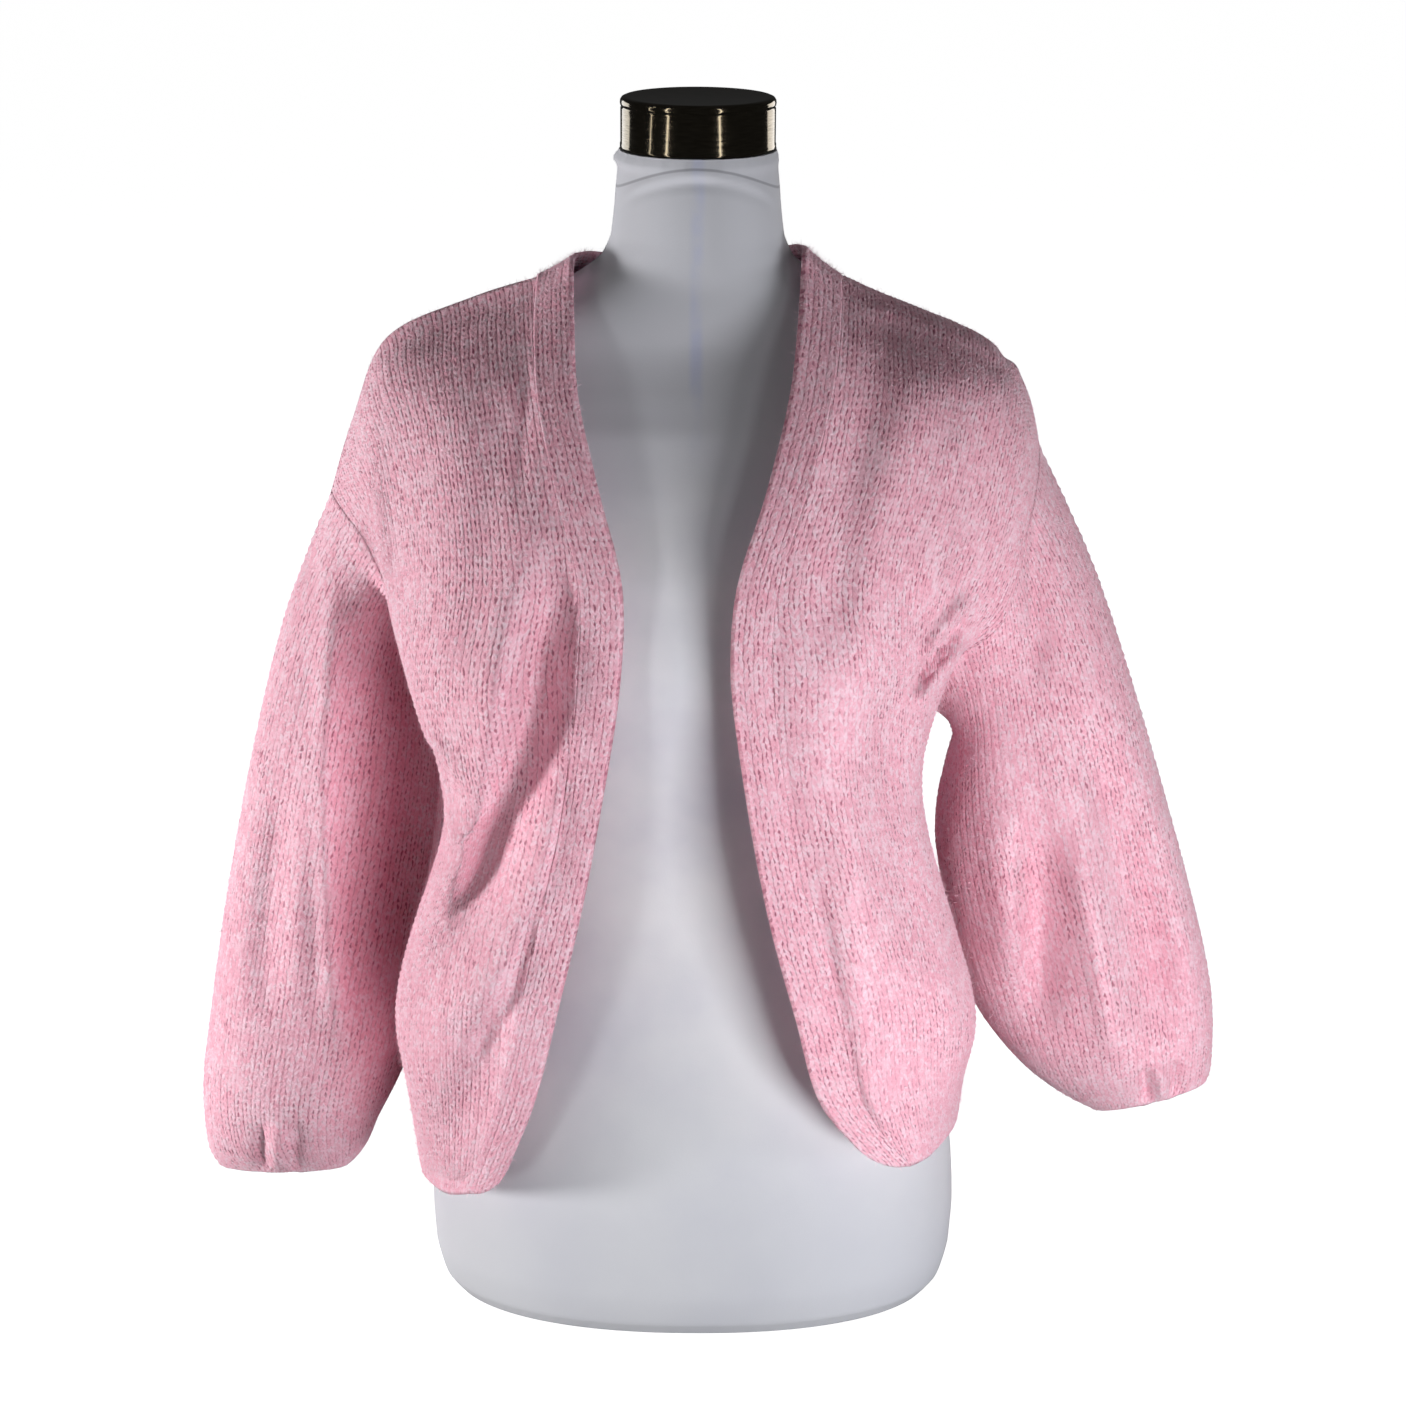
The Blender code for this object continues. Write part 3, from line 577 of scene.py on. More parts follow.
def outside_form(points):
    """How far outside the form's surface each point is, roughly in metres, and the way out."""

    def level(p):
        half, front, back = np.moveaxis(form_ring(np.clip(p[..., 2], 0, form_top)), -1, 0)
        depth = np.where(p[..., 1] < 0, front, back)
        across = np.abs(p[..., 0] / half) ** FORM_ROUNDNESS + np.abs(p[..., 1] / depth) ** FORM_ROUNDNESS
        return across ** (1 / FORM_ROUNDNESS)

    slopes = [level(points + SLOPE_STEP * axis) - level(points - SLOPE_STEP * axis) for axis in np.eye(3)]
    way = np.stack(slopes, -1) / (2 * SLOPE_STEP)
    steep = np.linalg.norm(way, axis=-1)
    return (level(points) - 1) / steep, way / steep[..., None]


def lay_on_form(points, wall):
    """Settles the cloth on the form's shoulders, and moves it out of the form wherever it would touch."""
    gap, way = outside_form(points)
    facing_up = np.clip((way[..., 2] - FACES_UP_FROM) / FACES_UP_OVER, 0, 1)
    least = wall / 2 + FORM_CLEARANCE + SHOULDER_SPARE * facing_up
    facing_up *= np.clip((np.abs(points[..., 0]) - SETTLES_FROM) / SETTLES_OVER, 0, 1)
    close = np.clip((SETTLES_WITHIN - gap) / (SETTLES_WITHIN / 2), 0, 1)
    points = points - ((gap - least) * facing_up * close)[..., None] * way
    for _ in range(CLEARING_ROUNDS):
        gap, way = outside_form(points)
        points = points + np.clip(least - gap, 0, CLEARING_STEP)[..., None] * way
    return points


def eased(grid):
    """Evens out a grid between its edges, as knitted cloth bridges small hollows."""
    grid = grid.copy()
    around = grid[:-2, 1:-1] + grid[2:, 1:-1] + grid[1:-1, :-2] + grid[1:-1, 2:]
    grid[1:-1, 1:-1] += EASE * (around / 4 - grid[1:-1, 1:-1])
    return grid


def travelled(points):
    """How far along a line of points each one lies, from 0."""
    return np.concatenate([[0], np.cumsum(np.linalg.norm(np.diff(points, axis=0), axis=1))])


def along_line(points, line):
    """Distance in x and z from each point to a line given in mm, and how far along it, from 0 to 1."""
    flat = points[..., [0, 2]]
    line = np.array(line, float) * MM
    nearest = np.full(flat.shape[:-1], np.inf)
    share = np.zeros(flat.shape[:-1])
    starts = travelled(line)
    for start, way, before, after in zip(line[:-1], np.diff(line, axis=0), starts[:-1], starts[1:]):
        part = np.clip(((flat - start) @ way) / (way @ way), 0, 1)
        distance = np.linalg.norm(flat - start - part[..., None] * way, axis=-1)
        share = np.where(distance < nearest, (before + part * (after - before)) / starts[-1], share)
        nearest = np.minimum(nearest, distance)
    return nearest, share


def outward_normals(name, grid):
    """The direction out of the cloth at each point of a grid of rows by columns."""
    if name in SLEEVES:
        along = np.roll(grid, -1, 1) - np.roll(grid, 1, 1)
    else:
        along = np.gradient(grid, axis=1)
    across = np.cross(along, np.gradient(grid, axis=0))
    return across / np.linalg.norm(across, axis=-1, keepdims=True) * OUTWARD[name]


def folded(name, grid):
    """Raises the ridges and sinks the troughs of one piece, on the side that faces the front."""
    normal = outward_normals(name, grid)
    front = np.clip(-normal[..., 1] * FOLD_FACING, 0, 1)
    for piece, height, half_width, line in FOLDS:
        if piece == name:
            near = np.exp(-((along_line(grid, line)[0] / (half_width * MM)) ** 2))
            grid = grid + (height * MM * near * front)[..., None] * normal
    return grid


def level_places():
    """Where the rows of a panel lie, counted in levels."""
    below = np.linspace(0, UNDERARM, UNDERARM * STEPS_BELOW + 1)
    above = np.linspace(UNDERARM, len(LEVELS) - 1, (len(LEVELS) - 1 - UNDERARM) * STEPS_ABOVE + 1)
    above[-3:-1] = len(LEVELS) - 1 - np.array(NEAR_SHOULDER_SEAM)
    return np.concatenate([below, above[1:]])


def front_rows(table):
    """The panel's table at each level, with its full number of columns, seam to side."""
    table = np.array(table, float) * MM
    stretches = table.shape[1] - 2
    columns = np.linspace(0, stretches, stretches * FRONT_STEPS + 1)
    return np.stack([spline(row[1:], columns) for row in table])


def back_half(table, rows, side_sign):
    """Half of the back at each level, from the middle to the side seam of the given front."""
    side = np.array(table, float)[:, 5] * MM
    side[UNDERARM + 1 : -1] = np.array(BACK_ARMHOLES[0 if side_sign < 0 else 1], float) * MM
    shares = [np.linspace(BACK_SHARES[0], BACK_SHARES[1], NECK_STEPS // 2 + 1)]
    for start, end in zip(BACK_SHARES[1:-1], BACK_SHARES[2:]):
        shares.append(np.linspace(start, end, FRONT_STEPS + 1)[1:])
    shares = np.concatenate(shares)
    turn = np.linspace(0, math.pi / 2, ARC_POINTS)
    half = []
    for (middle_y, middle_z, square), (x, y, z) in zip(BACK_MIDDLE, side):
        behind = np.cos(turn).clip(0) ** (2 / square)
        level_y = y + (middle_y * MM - y) * behind
        level_z = middle_z * MM + (z - middle_z * MM) * np.sin(turn) ** BACK_RISE
        arc = np.stack([x * np.sin(turn) ** (2 / square), level_y, level_z], -1)
        along = travelled(arc)
        half.append(np.stack([np.interp(shares * along[-1], along, line) for line in arc.T], -1))
    half = np.stack(half)
    neck = np.array(BACK_NECK_SEAM, float)[::side_sign] * MM
    neck_point = rows[-1, 0]
    curve = np.vstack([[neck[2]], [neck[3]], [neck[4]], [neck_point]])
    half[-1, : NECK_STEPS // 2 + 1] = spline(curve, np.linspace(0, 3, NECK_STEPS // 2 + 1))
    half[-1, NECK_STEPS // 2 :] = rows[-1]
    return half


def joined_rows(rows):
    """A panel's levels, read as smooth curves at every row."""
    return spline(rows, level_places())


def sleeve_rings(armhole, table):
    """A sleeve from its armhole's ring, underarm first and then up the front, to its cuff."""
    sign = 1 if table[0][0] < 0 else -1
    along = travelled(np.vstack([armhole, armhole[:1]]))
    head = along[len(armhole) // 2]
    around = np.interp(along[:-1], (0, head, along[-1]), (0, math.pi, 2 * math.pi))
    rings = [armhole]
    for (x, y, z, half_width, half_depth, tilt), rise in zip(table, CUFF_RISE):
        lean = np.radians(tilt)
        inward = np.array([sign * np.cos(lean), 0, -np.sin(lean)])
        to_front = np.array([0, -1, rise])
        middle = np.array([x, y, z]) * MM
        ring = middle + MM * (
            half_width * np.cos(around)[:, None] * inward + half_depth * np.sin(around)[:, None] * to_front
        )
        rings.append(ring)
    return spline(np.stack(rings), SLEEVE_ROWS)


def band_grid(fronts, neck_row):
    """The band from the right hem, up, round the back of the neck and down to the left hem."""
    places = level_places()
    edges = [spline(np.array(table, float)[:, 0] * MM, places) for table in (RIGHT_FRONT, LEFT_FRONT)]
    neck = np.vstack([[edges[0][-1]], np.array(BACK_NECK_EDGE, float) * MM, [edges[1][-1]]])
    neck = spline(neck, np.linspace(0, 6, NECK_STEPS + 1))
    edge = np.vstack([edges[0], neck[1:-1], edges[1][::-1]])
    seam = np.vstack([fronts[0][:, 0], neck_row[1:-1], fronts[1][::-1, 0]])
    share = np.linspace(0, 1, BAND_STEPS + 1)[None, :, None]
    grid = seam[:, None] + (edge - seam)[:, None] * share
    return grid + BAND_ROLL * np.sin(share * BAND_ROLL_TURN) * outward_normals("band", grid)


def cloth_grids():
    """Every cloth piece's middle surface, as rows by columns of points, sharing their seams."""
    right_rows, left_rows = front_rows(RIGHT_FRONT), front_rows(LEFT_FRONT)
    right, left = joined_rows(right_rows), joined_rows(left_rows)
    right_half = back_half(RIGHT_FRONT, right_rows, -1)
    left_half = back_half(LEFT_FRONT, left_rows, 1)
    back = joined_rows(np.concatenate([right_half[:, ::-1], left_half[:, 1:]], axis=1))
    first = UNDERARM * STEPS_BELOW
    for front, column in ((right, 0), (left, -1)):
        seam = (front[: first + 1, -1] + back[: first + 1, column]) / 2
        front[: first + 1, -1] = seam
        back[: first + 1, column] = seam
    grids = {"front_right": right, "front_left": left, "back": back}
    for name, front, back_side, table in (
        ("sleeve_right", right, back[:, 0], RIGHT_SLEEVE),
        ("sleeve_left", left, back[:, -1], LEFT_SLEEVE),
    ):
        armhole = np.vstack([front[first:, -1], back_side[first + 1 : -1][::-1]])
        grids[name] = sleeve_rings(armhole, table)
    neck_start = (back.shape[1] - 1 - NECK_STEPS) // 2
    neck_row = back[-1, neck_start : neck_start + NECK_STEPS + 1]
    grids["band"] = band_grid((right, left), neck_row)
    return grids


def shape_grids():
    """The cloth with its folds, laid clear of the form, its shared seams still shared."""
    grids = cloth_grids()
    keys = {}
    for name, grid in grids.items():
        for row, column in np.ndindex(grid.shape[:2]):
            keys.setdefault(tuple(np.round(grid[row, column] / MM, 3)), []).append((name, row, column))
        grids[name] = folded(name, grid)
    for shared in keys.values():
        mean = np.mean([grids[name][row, column] for name, row, column in shared], axis=0)
        for name, row, column in shared:
            grids[name][row, column] = mean
    for name, grid in grids.items():
        for _ in range(EASE_ROUNDS):
            grid = eased(lay_on_form(grid, BAND_WALL))
        grids[name] = lay_on_form(grid, BAND_WALL)
    normals = {name: outward_normals(name, grid) for name, grid in grids.items()}
    for shared in keys.values():
        mean = np.zeros(3)
        for name, row, column in shared:
            heavy = name in SLEEVES and len(shared) == 3
            mean += normals[name][row, column] * (UNDERARM_WEIGHT if heavy else 1)
        mean /= np.linalg.norm(mean)
        for name, row, column in shared:
            normals[name][row, column] = mean
    return grids, normals


grids, normals = shape_grids()


# The knitting: brushed stocking stitch in a bulky heathered yarn. Each stitch is a pair of legs that rise
# from its middle to its sides, and each panel is a closed wall of such stitches with a plain inner side.
STITCH_WIDTH = 6.8 * MM
STITCH_HEIGHT = 4.9 * MM
YARN_RISE = 1.5 * MM
KNIT_WALL = 2.6 * MM
FIBRE_LENGTH = 3.8 * MM
FIBRE_RADIUS = 0.09 * MM
EDGE_ROLL = 2.2 * MM
# How many points a stitch has across and up, and how high it stands at each: across from the edge between two
# wales, and up from its foot. The legs are carried up by a share of a stitch from the middle to the edges.
ACROSS = 4
UP = 2
LEG_PROFILE = (0.0, 1.0, 0.22, 1.0)
LOOP_PROFILE = (0.45, 1.0)
LEG_LIFT = (0.42, 0.0, -0.42, 0.0)
# How many points from a piece's ends that lift settles in, how much of its height the flattest stitch has,
# and which height lies level with the wall.
LIFT_SETTLES = 8
LEAST_FULL = 0.72
LEVEL_RELIEF = 0.35
# A row is measured in so many steps from one point of the surface to the next.
FINE_STEPS = 6
# Next to a seam the stitches lie level, and folds die away over this many points.
SEAM_LEVEL = 0.65
SEAM_CALM = 5
# The share of a fold's length over which it fades at each end, what is left there, and how it fades round the
# side.
CREASE_FADE = 0.3
CREASE_LEAST = 0.04
CREASE_FACING = (2.0, 0.3)
# The band's ends are rounded off by this radius, over so many half stitches of its length.
BAND_WIDTH = 25 * MM
CORNER = 15 * MM
CORNER_ROWS = 24
# Keeps the stitches' numbers above zero on every piece.
FIRST_STITCH = 200
# Two small spots where the yarn is a stronger pink: the middle, the radius in metres and how strong.
SPOTS = (((0.0885, -0.140, 0.170), 0.006, 0.8), ((0.131, -0.118, 0.168), 0.005, 0.4))
SPOT_PINK = (0.85, 0.16, 0.33, 1)
PINK_LIGHT = (1.0, 0.73, 0.82, 1)
PINK = (0.97, 0.53, 0.64, 1)
PINK_DEEP = (0.91, 0.44, 0.55, 1)
# Painted shade: the deep red laid into the holes, slits and course lines between the yarn's legs.
GAP_PAINTED_SHADE = (0.38, 0.08, 0.14, 1)
SHEEN_PINK = (1.0, 0.85, 0.90, 1)


def knit_yarn(name):
    """Heathered yarn on stitch coordinates: fibres along each leg, painted shade in the gaps at its foot, between
    its wales and between its courses, and a bloom.
    """
    made, tree, shader = new_material(
        name,
        Roughness=0.9,
        Sheen_Weight=0.3,
        Sheen_Roughness=0.5,
        Sheen_Tint=SHEEN_PINK,
        Specular_IOR_Level=0.12,
    )
    add, less, times, over, scaled = sums(tree, "ADD", "SUBTRACT", "MULTIPLY", "DIVIDE", "MULTIPLY_ADD")
    larger, size, whole, fract, nearest = sums(tree, "MAXIMUM", "ABSOLUTE", "FLOOR", "FRACT", "ROUND")
    place = place_in(tree)

    def noise(scale, detail, output=0, at=place):
        """Cloudy noise of so many lumps to the metre."""
        cloud = node(
            tree, "ShaderNodeTexNoise", in_Vector=at, in_Scale=scale, in_Detail=detail, in_Roughness=0.68
        )
        return cloud.outputs[output]

    def cell(x, y, z=0.0):
        return node(tree, "ShaderNodeCombineXYZ", in_0=x, in_1=y, in_2=z).outputs[0]

    def chance(at):
        """A number and a colour drawn for each cell."""
        return node(tree, "ShaderNodeTexWhiteNoise", noise_dimensions="3D", in_Vector=at).outputs

    def spot(across, wide, up, tall):
        """How far off the middle of a dark gap, where 1 is its edge."""
        x, y = over(across, wide), over(up, tall)
        return add(add(times(x, x), times(y, y)), ragged)

    stitch = node(tree, "ShaderNodeUVMap", uv_map="stitches").outputs[0]
    wander = node(
        tree, "ShaderNodeVectorMath", operation="MULTIPLY_ADD", in_0=noise(170.0, 2.0, 1), in_1=(0.5, 0.6, 0)
    )
    wander.inputs[2].default_value = (-0.25, -0.3, 0)
    moved = node(tree, "ShaderNodeVectorMath", operation="ADD", in_0=stitch, in_1=wander.outputs[0])
    u, v, _ = node(tree, "ShaderNodeSeparateXYZ", in_0=moved.outputs[0]).outputs
    row = whole(add(v, 0.5))
    aside, above, strength = node(tree, "ShaderNodeSeparateXYZ", in_0=chance(cell(whole(u), row))[1]).outputs
    leg_chance = chance(cell(whole(times(u, 2.0)), row, 7.0))[0]
    between = chance(cell(nearest(u), whole(v), 3.0))[0]

    # Flecks of lighter and deeper pink, first along each leg's fibres and then in small clouds over all.
    fibres = noise(1.7, 4.0, at=cell(times(u, 1.6), times(v, 6.0), leg_chance))
    flecks = noise(420.0, 3.0)
    bloom = noise(70.0, 5.0)
    light = add(times(fibres, 0.42), times(flecks, 0.58))
    light = add(light, scaled(leg_chance, 0.14, -0.07))
    light = add(light, scaled(noise(7.0, 2.0), 0.16, -0.08))
    tone = mixed(tree, ramp(tree, light, 0.36, 0.52), PINK_DEEP, PINK)
    tone = mixed(tree, ramp(tree, light, 0.48, 0.62), tone, PINK_LIGHT)
    tone = mixed(tree, times(ramp(tree, bloom, 0.48, 0.66), 0.35), tone, PINK_LIGHT)

    # Distances, in stitches, from the hole at the foot of each stitch, from the slit between two wales and from the
    # line between two courses; all of them are darkened with painted shade.
    ragged = scaled(flecks, 2.0, -1.0)
    off_u = less(fract(u), scaled(aside, 0.16, 0.42))
    off_v = less(less(v, row), scaled(above, 0.24, -0.12))
    hole = ramp(tree, spot(off_u, 0.10, off_v, scaled(strength, 0.24, 0.20)), 0.1, 1.7, 1.0, 0.0)
    hole = times(hole, ramp(tree, strength, 0.1, 0.8, 0.35, 0.95))
    side = less(0.5, size(less(fract(u), 0.5)))
    half_up = less(fract(v), scaled(between, 0.24, 0.38))
    slit = ramp(tree, spot(side, 0.085, half_up, scaled(between, 0.20, 0.22)), 0.1, 1.7, 1.0, 0.0)
    slit = times(slit, ramp(tree, between, 0.0, 0.9, 0.40, 0.90))
    hole = times(larger(hole, slit), ramp(tree, bloom, 0.5, 0.72, 1.0, 0.35))
    crack = times(ramp(tree, side, 0.02, 0.11, 1.0, 0.0), ramp(tree, bloom, 0.42, 0.58, 0.46, 0.20))
    course = size(less(v, row))
    zigzag = times(ramp(tree, course, 0.02, 0.13, 1.0, 0.0), ramp(tree, bloom, 0.42, 0.62, 0.18, 0.06))
    dark = larger(times(hole, 0.85), larger(crack, zigzag))
    # The chest and the shoulders are worn smoother, so their columns and the painted shade in their gaps show; lower
    # down the nap hides them in places.
    high = ramp(tree, node(tree, "ShaderNodeSeparateXYZ", in_0=place).outputs[2], 0.36, 0.52, 0.0, 0.16)
    dark = times(dark, ramp(tree, less(noise(11.0, 2.0), high), 0.42, 0.62, 1.0, 0.45))
    # Painted shade: the gaps between the legs take the deep red.
    tone = mixed(tree, dark, tone, GAP_PAINTED_SHADE)
    for middle, radius, share in SPOTS:
        near = add(distance(tree, place, middle), scaled(bloom, 0.008, -0.004))
        tone = mixed(tree, ramp(tree, near, radius * 0.4, radius, share, 0.0), tone, SPOT_PINK)
    tree.links.new(tone, shader.inputs["Base Color"])
    bumped(tree, shader, less(add(times(fibres, 0.7), flecks), times(dark, 0.9)), 0.6, 0.9 * MM)
    return made


def along_rows(surface, places):
    """Each row of a surface read at its own places along it."""
    return np.stack([spline(row, at) for row, at in zip(surface, places)])


def creased(points, outward, side, creases):
    """Soft ridges and troughs, each with its height and half width in mm along a line of x and z in mm.

    They lie on the side of the piece that faces -Y for side -1 and +Y for side 1, and move it straight that
    way, so its outline from the front stays.
    """
    moved = np.zeros(points.shape[:-1])
    gain, start = CREASE_FACING
    facing = np.clip(outward[..., 1] * side * gain + start, 0, 1)
    for height, half_width, line in creases:
        nearest, share = along_line(points, line)
        ends = np.sin(np.clip(np.minimum(share, 1 - share) / CREASE_FADE, 0, 1) * math.pi / 2) ** 2
        ends = np.maximum(ends, CREASE_LEAST)
        moved += height * MM * np.exp(-((nearest / (half_width * MM)) ** 2)) * ends
    return points + (moved * facing)[..., None] * np.array([0, side, 0])


def wall_faces(owner, first, last, outer, inner, base, closed, free):
    """All points and faces of a closed wall between its outer and its inner points.

    The outer side has every point, and the inner side one for each stitch. A rim joins them along each edge,
    over a middle row that the edges in `free` carry a little outwards. `owner` gives the number of each
    point, where those past the end of a row share that of its last one. Also returns the corner that each
    middle point belongs to.
    """
    height, width = owner.shape
    count = height * width
    faces = []

    def add(quads):
        """Faces from corner numbers, without the corners that fall together."""
        for quad in np.stack(quads, -1).reshape(-1, 4).tolist():
            face = [corner for index, corner in enumerate(quad) if corner != quad[index - 1]]
            if len(face) > 2 and len(set(face)) == len(face):
                faces.append(face)

    add((owner[:-1, :-1], owner[:-1, 1:], owner[1:, 1:], owner[1:, :-1]))
    some = np.unique(np.append(np.arange(0, width, ACROSS), width - 1))
    few = np.unique(np.append(np.arange(0, height, UP), height - 1))
    plain = owner[np.ix_(few, some)] + count
    add((plain[:-1, :-1], plain[1:, :-1], plain[1:, 1:], plain[:-1, 1:]))

    # Each rim: its corners, those that the inner side has too, which way its faces run, and the way into the
    # piece.
    rims = [
        ("foot", owner[0], owner[0, some], True, (1, 0)),
        ("head", owner[-1], owner[-1, some], False, (-1, 0)),
    ]
    if not closed:
        every = np.arange(height)
        rims.append(("first", owner[every, first], owner[few, first[few]], False, (0, 1)))
        rims.append(("last", owner[every, last], owner[few, last[few]], True, (0, -1)))
    flat_outer, flat_inner, flat_base = (side.reshape(-1, 3) for side in (outer, inner, base))
    middles = {}
    extra = []
    for edge_name, corners, marks, forward, (step_up, step_on) in rims:
        corners = corners.tolist()
        marks = set(marks.tolist())
        loop = [corner for index, corner in enumerate(corners) if index == 0 or corner != corners[index - 1]]
        roll = EDGE_ROLL if edge_name in free else 0.0
        for corner in loop:
            if (corner, edge_name) in middles:
                continue
            row, column = divmod(corner, width)
            beside_row = min(max(row + 2 * step_up, 0), height - 1)
            beside_column = min(max(column + 2 * step_on, first[row]), last[row])
            away = flat_base[corner] - flat_base[beside_row * width + beside_column]
            away = away / max(np.linalg.norm(away), 1e-9)
            middles[(corner, edge_name)] = 2 * count + len(extra)
            extra.append((flat_outer[corner] + flat_inner[corner]) / 2 + roll * away)
        for start, end in zip(loop[:-1], loop[1:]):
            m_start, m_end = middles[(start, edge_name)], middles[(end, edge_name)]
            for face in ([end, start, m_start, m_end], [m_end, m_start, start + count, end + count]):
                faces.append(face if forward else face[::-1])
        run = [loop[0]]
        for corner in loop[1:]:
            run.append(corner)
            if corner in marks or corner == loop[-1]:
                if len(run) > 2:
                    face = [place + count for place in run]
                    faces.append(face[::-1] if forward else face)
                run = [corner]
    owners = [corner for corner, _ in middles]
    return np.vstack([flat_outer, flat_inner, np.array(extra)]), faces, owners


def knitted(name, anchor=0.5, closed=False, squeeze=0.5, free=(), front=(), rear=(), wales=None):
    """A panel as a closed wall of real stitches on its middle surface.

    The wales run parallel to the anchor, which is 0 for the surface's first side and 0.5 for its middle, and
    end where they meet the other sides. `squeeze` is how much of a row's narrowing comes from fewer stitches.
    `free` names the edges that roll round: foot, head and last.
    """
    grid, outward = grids[name], normals[name]
    if closed:
        grid = np.concatenate([grid, grid[:, :1]], axis=1)
        outward = np.concatenate([outward, outward[:, :1]], axis=1)
    lengths = np.linalg.norm(np.diff(grid, axis=0), axis=-1).mean(axis=1)
    climbed = np.concatenate([[0], np.cumsum(lengths)])
    courses = int(round(climbed[-1] / STITCH_HEIGHT))
    at = np.interp(np.linspace(0, climbed[-1], courses * UP + 1), climbed, np.arange(len(climbed)))
    rows = spline(grid, at)
    fine = np.linspace(0, grid.shape[1] - 1, (grid.shape[1] - 1) * FINE_STEPS + 1)
    widths = np.array([travelled(spline(row, fine)) for row in rows])
    total = widths[:, -1]
    widest = total.max() if wales is None else wales * STITCH_WIDTH
    counted = widest / STITCH_WIDTH * (total / widest) ** squeeze
    most = int(math.ceil(counted.max() * (1 - anchor) - 0.01))
    wale = np.arange(-most * ACROSS if anchor else 0, most * ACROSS + 1) / ACROSS
    share = anchor + wale[None] / counted[:, None]
    first = np.maximum((share <= 0).sum(axis=1) - 1, 0)
    last = np.minimum((share < 1 - 1e-9).sum(axis=1), len(wale) - 1)
    clipped = np.clip(share, 0, 1)
    places = np.stack([np.interp(part * row[-1], row, fine) for part, row in zip(clipped, widths)])
    points = along_rows(rows, places)
    ways = along_rows(spline(outward, at), places)
    ways /= np.linalg.norm(ways, axis=-1, keepdims=True)

    height, width = points.shape[:2]
    up = np.arange(height)
    across = np.arange(width)[None]
    from_head = height - 1 - up
    inside = np.minimum(across - first[:, None], last[:, None] - across)
    quarter = np.round(wale * ACROSS).astype(int) % ACROSS
    settled = np.clip(np.minimum(up, from_head) / LIFT_SETTLES, 0, 1)
    lift = np.array(LEG_LIFT)[quarter] * UP * settled[:, None] * np.clip(inside / 2, 0, 1)
    if name == "band":
        turned = np.clip((share - 1) * BAND_WIDTH / CORNER + 1, 0, 1)
        corner = CORNER / STITCH_HEIGHT * UP * (1 - np.sqrt(1 - turned**2))
        reach = np.clip(1 - np.stack([up, from_head]) / CORNER_ROWS, 0, 1)
        lift = lift + corner * (reach[0] - reach[1])[:, None]
    row_at = np.clip(up[:, None] + lift, 0, height - 1)
    low = np.clip(np.floor(row_at).astype(int), 0, height - 2)
    part = (row_at - low)[..., None]
    column = np.broadcast_to(across, low.shape)
    base = points[low, column] * (1 - part) + points[low + 1, column] * part
    ways = ways[low, column] * (1 - part) + ways[low + 1, column] * part
    ways /= np.linalg.norm(ways, axis=-1, keepdims=True)

    # Near a seam the folds are calm and the stitches level; a free edge keeps both to its end.
    calm = np.ones(inside.shape) if closed else np.clip(inside / SEAM_CALM, 0, 1)
    edge = np.clip(inside / 2, 0, 1)
    if "last" in free:
        edge = np.where(last[:, None] - across < width / 2, 1.0, edge)
    ends = np.ones(height)
    for edge_name, away in (("foot", up), ("head", from_head)):
        if edge_name not in free:
            calm = calm * np.clip(away / SEAM_CALM, 0, 1)[:, None]
            ends = np.minimum(ends, np.clip(away / 2, 0, 1))
    calm = np.sin(calm * math.pi / 2)[..., None] ** 2
    base = base + (creased(creased(base, ways, -1, front), ways, 1, rear) - base) * calm
    rng = np.random.default_rng(sum(ord(letter) for letter in name))
    stitch_row, stitch_column = (up // UP)[:, None], across // ACROSS
    fullness = rng.uniform(LEAST_FULL, 1.0, (stitch_row.max() + 1, stitch_column.max() + 1))
    fullness = fullness[stitch_row, stitch_column]
    relief = np.array(LEG_PROFILE)[quarter] * np.array(LOOP_PROFILE)[up % UP][:, None] * fullness
    relief = SEAM_LEVEL + (relief - SEAM_LEVEL) * edge * ends[:, None]
    outer = base + (KNIT_WALL / 2 + YARN_RISE * (relief - LEVEL_RELIEF))[..., None] * ways
    inner = base - (KNIT_WALL / 2) * ways

    owner = np.clip(across, first[:, None], last[:, None]) + up[:, None] * width
    if closed:
        owner = np.where(owner == (last + up * width)[:, None], (first + up * width)[:, None], owner)
    everything, faces, owners = wall_faces(owner, first, last, outer, inner, base, closed, free)
    used = np.zeros(len(everything), bool)
    for face in faces:
        used[face] = True
    number = np.cumsum(used) - 1
    turned = [number[face].tolist()[:: OUTWARD[name]] for face in faces]
    made = smooth_object(name + "_knit", everything[used].tolist(), turned)
    u = np.broadcast_to(wale, (height, width))
    v = np.broadcast_to(up[:, None] / UP, (height, width))
    stitches = np.stack([u, v], -1).reshape(-1, 2) + FIRST_STITCH
    stitches = np.vstack([stitches, stitches, stitches[owners]])[used]
    corners = np.empty(len(made.data.loops), np.int32)
    made.data.loops.foreach_get("vertex_index", corners)
    layer = made.data.uv_layers.new(name="stitches")
    layer.uv.foreach_set("vector", stitches[corners].astype(np.float32).reshape(-1))
    outside = np.ones(len(everything), np.float32)
    outside[height * width : 2 * height * width] = 0
    made.data.attributes.new("outer", "FLOAT", "POINT").data.foreach_set("value", outside[used])
    return made


